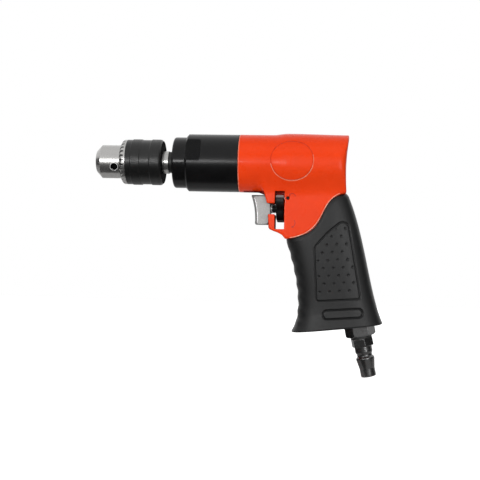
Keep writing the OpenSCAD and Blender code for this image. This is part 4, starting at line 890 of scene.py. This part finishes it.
def arrow_outline(centre, radius, first, last, width):
    """Curved arrow in the side's plane: an arc with a head at its last end."""

    def at(r, b):
        return centre[0] + r * math.cos(b), centre[1] + r * math.sin(b)

    a = np.radians(np.linspace(first, last, 12))
    end, wide = a[-1], 1.6 * width
    tip = end + math.copysign(2.4 * width / radius, last - first)
    head = [at(radius + wide, end), at(radius, tip), at(radius - wide, end)]
    return [at(radius + width / 2, b) for b in a] + head + [at(radius - width / 2, b) for b in a[::-1]]


def skin_depth(x, z, side):
    """Distance of the casting's face from the middle plane, on one side."""
    far = np.full(len(x), 30.0)
    while (housing_field(x, side * far, z) > 0).any():
        far = np.where(housing_field(x, side * far, z) > 0, far - 0.1, far)
    near = far + 0.1
    for _ in range(20):
        middle = (near + far) / 2
        out = housing_field(x, side * middle, z) > 0
        near, far = np.where(out, middle, near), np.where(out, far, middle)
    return far


def make_badge_seat():
    """Fine raised lip round the bare seat on the left side in painted shade, with a painted highlight along
    its lower part.
    """
    for name, (radius, first, last, thick, look) in LIPS.items():
        t = np.radians(np.linspace(first, last, 140))
        x = BADGE_X + radius * np.cos(t)
        z = BADGE_FACE_R * np.sin((BADGE_UP + radius * np.sin(t)) / BADGE_FACE_R)
        path = x, -skin_depth(x, z, -1) + 0.06, z
        bead(name, path, thick, "housing", "red_paint", sides=6, material=look)


def make_arrows():
    for name, (centre, size, first, last) in ARROWS.items():
        shape = np.array(arrow_outline(centre, size, first, last, ARROW_WIDE))
        count = len(shape)
        for side, mark in SIDES:
            skin = skin_depth(shape[:, 0], shape[:, 1], side)
            near = [(x, side * (y + ARROW_RISE), z) for (x, z), y in zip(shape, skin)]
            far = [(x, side * (y - ARROW_SUNK), z) for (x, z), y in zip(shape, skin)]
            faces = [list(range(count))] + tube_faces(2, count).tolist()
            turn = (side < 0) == (last > first)
            faces = [f if turn else f[::-1] for f in faces]
            # The raised marks in a darker red: painted shade
            piece(f"{name}_{mark}", near + far, faces, "housing", "red_paint", sharp=30, material="mark_shade_red")


# Trigger

TRIGGER_FRONT = np.array([[-24.6, -24.0], [-23.0, -28.4], [-21.3, -35.1], [-21.7, -43.7]])
TRIGGER_BACK = [(116.3, -23.4), (128.0, -23.4), (129.95, -26.4)]
TRIGGER_BACK += [(129.95, -41.9), (128.0, -44.9), (119.3, -44.9)]
TRIGGER = [(HX + x, z) for x, z in bezier(TRIGGER_FRONT, np.linspace(1, 0, 12))] + TRIGGER_BACK
TRIGGER_FRONT_X, TRIGGER_FRONT_Z = bezier(TRIGGER_FRONT, np.linspace(1, 0, 40)).T
TRIGGER_HALF, TRIGGER_ROUND = 8, 3.4
STEM_HOLE_R, X_STEM_HOLE = 2.05, 122


def trigger_front(z):
    """Place of the trigger's front along the tool at a height."""
    return HX + np.interp(z, TRIGGER_FRONT_Z, TRIGGER_FRONT_X)


def trigger_field(x, y, z):
    plan = rounded_and(trigger_front(z) - x, np.abs(y) - TRIGGER_HALF, TRIGGER_ROUND)
    shape = rounded_and(outline(x, z, TRIGGER), plan, 0.5)
    stem = np.maximum(np.hypot(y, z - VALVE_Z) - STEM_HOLE_R, X_STEM_HOLE - x)
    return smax(shape, -stem, 0.2)


def make_trigger():
    shell = surface(trigger_field, (114.6, -9, -45.8), (130.8, 9, -22.4), 0.3)
    piece("trigger_shell", *shell, "trigger", "cast_alloy", ["trigger"])
    # Painted highlights: light beads along the front edges
    z = np.linspace(-44.0, -25.0, 30)
    for side, mark in SIDES:
        path = trigger_front(z) + 2.1, side * 7.68, z
        bead(f"trigger_highlight_{mark}", path, 0.42, "trigger", "cast_alloy", material="polished_and_highlight")


X_BOOT, X_BOOT_END, BOOT_FOLDS, FOLD_PITCH, FOLD_DEEP = 131.2, 136.6, 6, 0.89, 0.5
BOOT_R, BOOT_END_R, BOOT_BORE_R = 3.25, 3.0, 2.1


def make_boot():
    """Black boot on the trigger's stem, with folds along it."""
    profile = [(X_BOOT, BOOT_BORE_R), (X_BOOT, BOOT_END_R)]
    for fold in range(BOOT_FOLDS):
        x = X_BOOT + 0.05 + FOLD_PITCH * fold
        profile += [(x, BOOT_R), (x + 0.44, BOOT_R - FOLD_DEEP)]
    profile += [(X_BOOT_END, BOOT_END_R), (X_BOOT_END, BOOT_BORE_R)]
    boot = turned("stem_boot", profile, "reverse", "seal_rubber", columns=48, spacing=0.3, height=VALVE_Z)
    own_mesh(boot)


X_SPRING, SPRING_LONG, SPRING_TURNS, SPRING_R, WIRE_R = 163.35, 10.86, 5, 3.4, 0.45


def make_spring():
    """Throttle spring, coiled round the valve's axis."""
    columns, sides = 40, 12
    steps = SPRING_TURNS * columns
    k = np.arange(steps + 1)[:, None]
    a, b = 2 * np.pi * k / columns, 2 * np.pi * np.arange(sides)[None, :] / sides
    r = SPRING_R + WIRE_R * np.cos(b)
    x = X_SPRING + SPRING_LONG * k / steps + WIRE_R * np.sin(b)
    points = np.stack([x, r * np.cos(a), VALVE_Z + r * np.sin(a)], 2).reshape(-1, 3)
    faces = rod_faces(steps + 1, sides)
    coil = piece("spring_coil", points, faces, "housing", "hard_steel", ["throttle_spring"])
    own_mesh(coil)


# Reverse lever

LEVER_TURN = math.radians(22)
LEVER_X, LEVER_HALF, LEVER_REACH, LEVER_END_R, LEVER_HUB_R = 137.1, 2.9, 15, 4, 8.4
LEVER_BORE_R, BOOT_POCKET, X_POCKET_END = 2.5, 1.3, 136.7


def lever_field(x, y, z):
    dz = z - VALVE_Z
    u, v = rotated(y, dz, LEVER_TURN)
    bar = np.hypot(np.maximum(np.abs(u) - LEVER_REACH, 0), v) - LEVER_END_R
    plate = smin(bar, np.hypot(u, v) - LEVER_HUB_R, 1.5)
    shape = rounded_and(plate, np.abs(x - LEVER_X) - LEVER_HALF, 1.1)
    hole = np.hypot(y, dz) - LEVER_BORE_R - BOOT_POCKET * (x < X_POCKET_END)
    return smax(shape, -hole, 0.3)


def make_lever():
    shell = surface(lever_field, (133.8, -19.6, -45.0), (140.1, 19.6, -21.0), 0.3)
    piece("lever_plate", *shell, "reverse", "black_plastic", ["reverse_lever"], material="lever_black")


# Air inlet and plug, on an axis that leans from the grip's bottom

INLET_TILT = math.radians(12)
INLET_X, INLET_SUNK = 55.9, 0.9
BOTTOM_X, BOTTOM_Z = zip(GRIP_FRONT[3], GRIP_BACK[3])
INLET_AT = (HX + INLET_X, np.interp(INLET_X, BOTTOM_X, BOTTOM_Z) + INLET_SUNK)
HEX_ACROSS, HEX_HALF, HEX_BORE_R = 19, 4.3, 6.5
SPIGOT_R, SPIGOT_AT, SPIGOT_HALF, SPIGOT_BORE_R, BORE_STEP = 7.9, -6.4, 6.6, 4.6, -3.4
NUT_ACROSS, NUT_TURN, NUT_AT, NUT_HALF, PLUG_BORE_R = 14.2, 20, 13.1, 3.0, 3.5
# Half section of the plug, as distances along its axis and radii
PLUG = [(-0.4, PLUG_BORE_R), (-0.4, 6.4), (12.0, 6.4), (12.0, 6.3), (20.3, 6.3), (20.6, 6.1), (21.7, 5.5)]
PLUG += [(23.3, 5.5), (24.3, 6.5), (24.6, 6.7), (25.6, 6.7), (32.5, 5.5), (37.8, 5.5), (38.3, 5.3)]
PLUG += [(38.5, 4.8), (38.5, 3.8), (38.2, PLUG_BORE_R)]


def inlet_frame(x, y, z):
    """Two coordinates across the inlet's axis and one down along it."""
    u, w = rotated(x - INLET_AT[0], z - INLET_AT[1], -INLET_TILT)
    return -u, y, -w


def hexagon(u, v, across, turn):
    faces = [np.abs(u * math.cos(a) + v * math.sin(a)) for a in np.radians(np.array([30, 90, 150]) + turn)]
    return np.maximum(np.maximum(faces[0], faces[1]), faces[2]) - across / 2


def inlet_field(x, y, z):
    u, v, w = inlet_frame(x, y, z)
    r = np.hypot(u, v)
    body = rounded_and(hexagon(u, v, HEX_ACROSS, 0), np.abs(w - HEX_HALF) - HEX_HALF, 0.35)
    body = smax(body, 0.555 * r + 0.832 * w - 12.5, 0.4)
    body = np.minimum(body, np.maximum(r - SPIGOT_R, np.abs(w - SPIGOT_AT) - SPIGOT_HALF))
    return smax(body, -np.where(w > BORE_STEP, r - HEX_BORE_R, r - SPIGOT_BORE_R), 0.2)


def plug_field(x, y, z):
    u, v, w = inlet_frame(x, y, z)
    r, off = np.hypot(u, v), np.abs(w - NUT_AT)
    nut = rounded_and(hexagon(u, v, NUT_ACROSS, NUT_TURN), off - NUT_HALF, 0.3)
    nut = smax(nut, 0.5 * r + 0.866 * off - 6.6, 0.3)
    nut = np.maximum(nut, PLUG_BORE_R - r)
    return smin(outline(w, r, PLUG), nut, 0.15)


def make_inlet():
    for name, field, low, high, pitch, node in (
        ("inlet_hexagon", inlet_field, (180, -12, -128), (213, 12, -101), 0.32, "inlet_bushing"),
        ("plug_body", plug_field, (188, -9, -156), (213.4, 9, -114), 0.3, "air_plug"),
    ):
        shell = surface(field, low, high, pitch)
        piece(name, *shell, "housing", "black_oxide", [node], sharp=50, material="plug_oxide")


# CAD nodes have their slot's material, apart from the three in DRESS

DRESS = {"retaining_pin": "pin_shade", "stem_washer": "polished_and_highlight", "trigger_stem": "polished_and_highlight"}
BEARINGS, RACES = ("front", "mid", "rotor", "rear"), ("outer", "inner", "balls")
SLOTS = {
    "red_paint": ["housing"],
    "black_case": ["gear_case"],
    "bright_steel": ["chuck_body"],
    "black_oxide": ["chuck_sleeve", "inlet_bushing", "air_plug", "spindle", "retaining_pin"],
    "bearing_steel": [f"{bearing}_bearing_{race}" for bearing in BEARINGS for race in RACES],
    "cast_iron": ["front_end_plate", "rear_end_plate", "motor_cylinder"],
    "grip_rubber": ["grip_sleeve"],
    "seal_rubber": ["poppet_seal", "valve_o_rings", "rear_gasket"],
    "cast_alloy": ["trigger"],
    "brass": ["valve_bushing", "reverse_valve", "inlet_screen"],
    "vane_resin": ["vanes"],
    "black_plastic": ["exhaust_diffuser", "reverse_lever", "inlet_washer"],
    "felt": ["spindle_seal", "muffler"],
}


SLOT_OF = {name: slot for slot, members in SLOTS.items() for name in members}


def dress_nodes():
    for name, obj in NODES.items():
        obj.data.materials.clear()
        obj.data.materials.append(MATERIALS[DRESS.get(name, SLOT_OF.get(name, "hard_steel"))])


# World, floor, lights and the dark side of the studio, in metres

WORLD_LIGHT, WORLD_SEEN = 0.16, 1.0
FLOOR_Z, FLOOR_X, FLOOR_Y = -0.158, (-1.5, 1.7), (-0.8, 0.75)
STUDIO_X, STUDIO_R, STUDIO_LOW = 0.11, 1.35, -0.9
PANEL_X, PANEL_Y = ((-1.2, 0.198), (0.262, 1.4)), (-1.0, -0.012)
AIM = (STUDIO_X, 0.0, -0.04)
# Each lamp's place, aim, size and power, and whether mirrors and matt faces see it
LAMPS = {
    "key": ((0.10, -0.6, 0.9), AIM, (0.9, 0.6), 5.4, False, True),
    "strip": ((-0.285, -1.15, 0.06), (-0.1, 0.0, 0.0), (0.63, 0.12), 4.0, True, True),
    "low": ((0.19, -1.1, -0.14), AIM, (0.22, 0.26), 0.10, True, True),
    "side": ((0.666, -1.10, -0.12), AIM, (0.42, 0.6), 6.0, True, False),
    "fill": ((0.05, -1.5, 0.30), AIM, (0.9, 0.7), 4.9, False, True),
    "back": ((0.3, 0.9, 0.6), AIM, (0.9, 0.6), 3.3, False, True),
}


def make_world():
    """Soft light on the tool, and white where the camera or a mirror sees the background."""
    world = bpy.data.worlds.new("world")
    bpy.context.scene.world = world
    world.use_nodes = True
    nodes, link = world.node_tree.nodes, world.node_tree.links.new
    nodes.clear()
    out = nodes.new("ShaderNodeOutputWorld")
    path = nodes.new("ShaderNodeLightPath")
    seen = path.outputs["Is Camera Ray"]
    for name in ("Is Glossy Ray", "Is Transmission Ray"):
        either = nodes.new("ShaderNodeMath")
        either.operation = "MAXIMUM"
        link(seen, either.inputs[0])
        link(path.outputs[name], either.inputs[1])
        seen = either.outputs[0]
    mix = nodes.new("ShaderNodeMixShader")
    link(seen, mix.inputs[0])
    for place, strength in ((1, WORLD_LIGHT), (2, WORLD_SEEN)):
        light = nodes.new("ShaderNodeBackground")
        light.inputs["Color"].default_value = (1, 1, 1, 1)
        light.inputs["Strength"].default_value = strength
        link(light.outputs[0], mix.inputs[place])
    link(mix.outputs[0], out.inputs["Surface"])


def grey(name, scale, dark, light):
    """Matt grey of a stage object."""
    g = Graph(name)
    g.set(Base_Color=g.ramp(g.noise(scale, 2), (dark,) * 3, (light,) * 3), Roughness=0.9)
    return g


def stage_object(name, points, faces):
    mesh = bpy.data.meshes.new(name)
    mesh.from_pydata(points, [], faces)
    mesh.materials.append(MATERIALS[name])
    obj = add_object(name, mesh)
    return obj


def panel(left, right, front, back, z):
    return [(left, front, z), (right, front, z), (right, back, z), (left, back, z)]


def make_floor():
    g = grey("floor", 6, 0.86, 0.88)
    seen = g.add("ShaderNodeLightPath").outputs["Is Camera Ray"]
    g.set(Emission_Color=(1, 1, 1, 1), Emission_Strength=g.span(seen, 0.0, 0.8))
    stage_object("floor", panel(*FLOOR_X, *FLOOR_Y, FLOOR_Z), [(0, 1, 2, 3)])


def make_lamps():
    for name, (at, aim, size, power, mirrored, diffuse) in LAMPS.items():
        data = bpy.data.lights.new(name, "AREA")
        data.shape = "RECTANGLE"
        data.size, data.size_y = size
        data.energy = power
        lamp = add_object(name, data)
        turn = (Vector(aim) - Vector(at)).to_track_quat("-Z", "Y")
        lamp.matrix_world = Matrix.Translation(at) @ turn.to_matrix().to_4x4()
        lamp.visible_glossy = mirrored
        lamp.visible_diffuse = diffuse


def studio_height(a):
    """Top of the dark wall at an angle: high behind the tool, lower ahead of the chuck, low at the sides."""
    if math.cos(a) > 0.89:
        return 0.9
    return 0.25 if math.cos(a) < -0.89 else -0.03


def make_dark_side():
    """Dark studio that only reflections show: a wall round the tool, two floor panels and a small card."""
    steps = 96
    ring = [math.pi * (0.72 + 1.40 * i / (steps - 1)) for i in range(steps)]
    plan = [(STUDIO_X + STUDIO_R * math.cos(a), STUDIO_R * math.sin(a)) for a in ring]
    points = [(x, y, STUDIO_LOW) for x, y in plan]
    points += [(x, y, studio_height(a)) for (x, y), a in zip(plan, ring)]
    faces = [(i, i + 1, i + 1 + steps, i + steps) for i in range(steps - 1)]
    panels = [panel(*ends, *PANEL_Y, FLOOR_Z + 0.001) for ends in PANEL_X]
    card = [(0.15, y, z) for y, z in ((-0.02, -0.157), (0.05, -0.157), (0.05, -0.1245), (-0.02, -0.1245))]
    for corners in panels + [card]:
        at = len(points)
        points += corners
        faces.append((at, at + 1, at + 2, at + 3))
    grey("dark_side", 4, 0.10, 0.13)
    wall = stage_object("dark_side", points, faces)
    wall.visible_camera = wall.visible_diffuse = wall.visible_shadow = False


make_camera()
dress_nodes()
make_sleeve()
make_case()
make_flats()
make_housing()
make_grip()
make_core()
make_badge_seat()
make_arrows()
make_trigger()
make_boot()
make_spring()
make_lever()
make_inlet()
make_world()
make_floor()
make_lamps()
make_dark_side()

bpy.context.scene.view_settings.view_transform = "Standard"
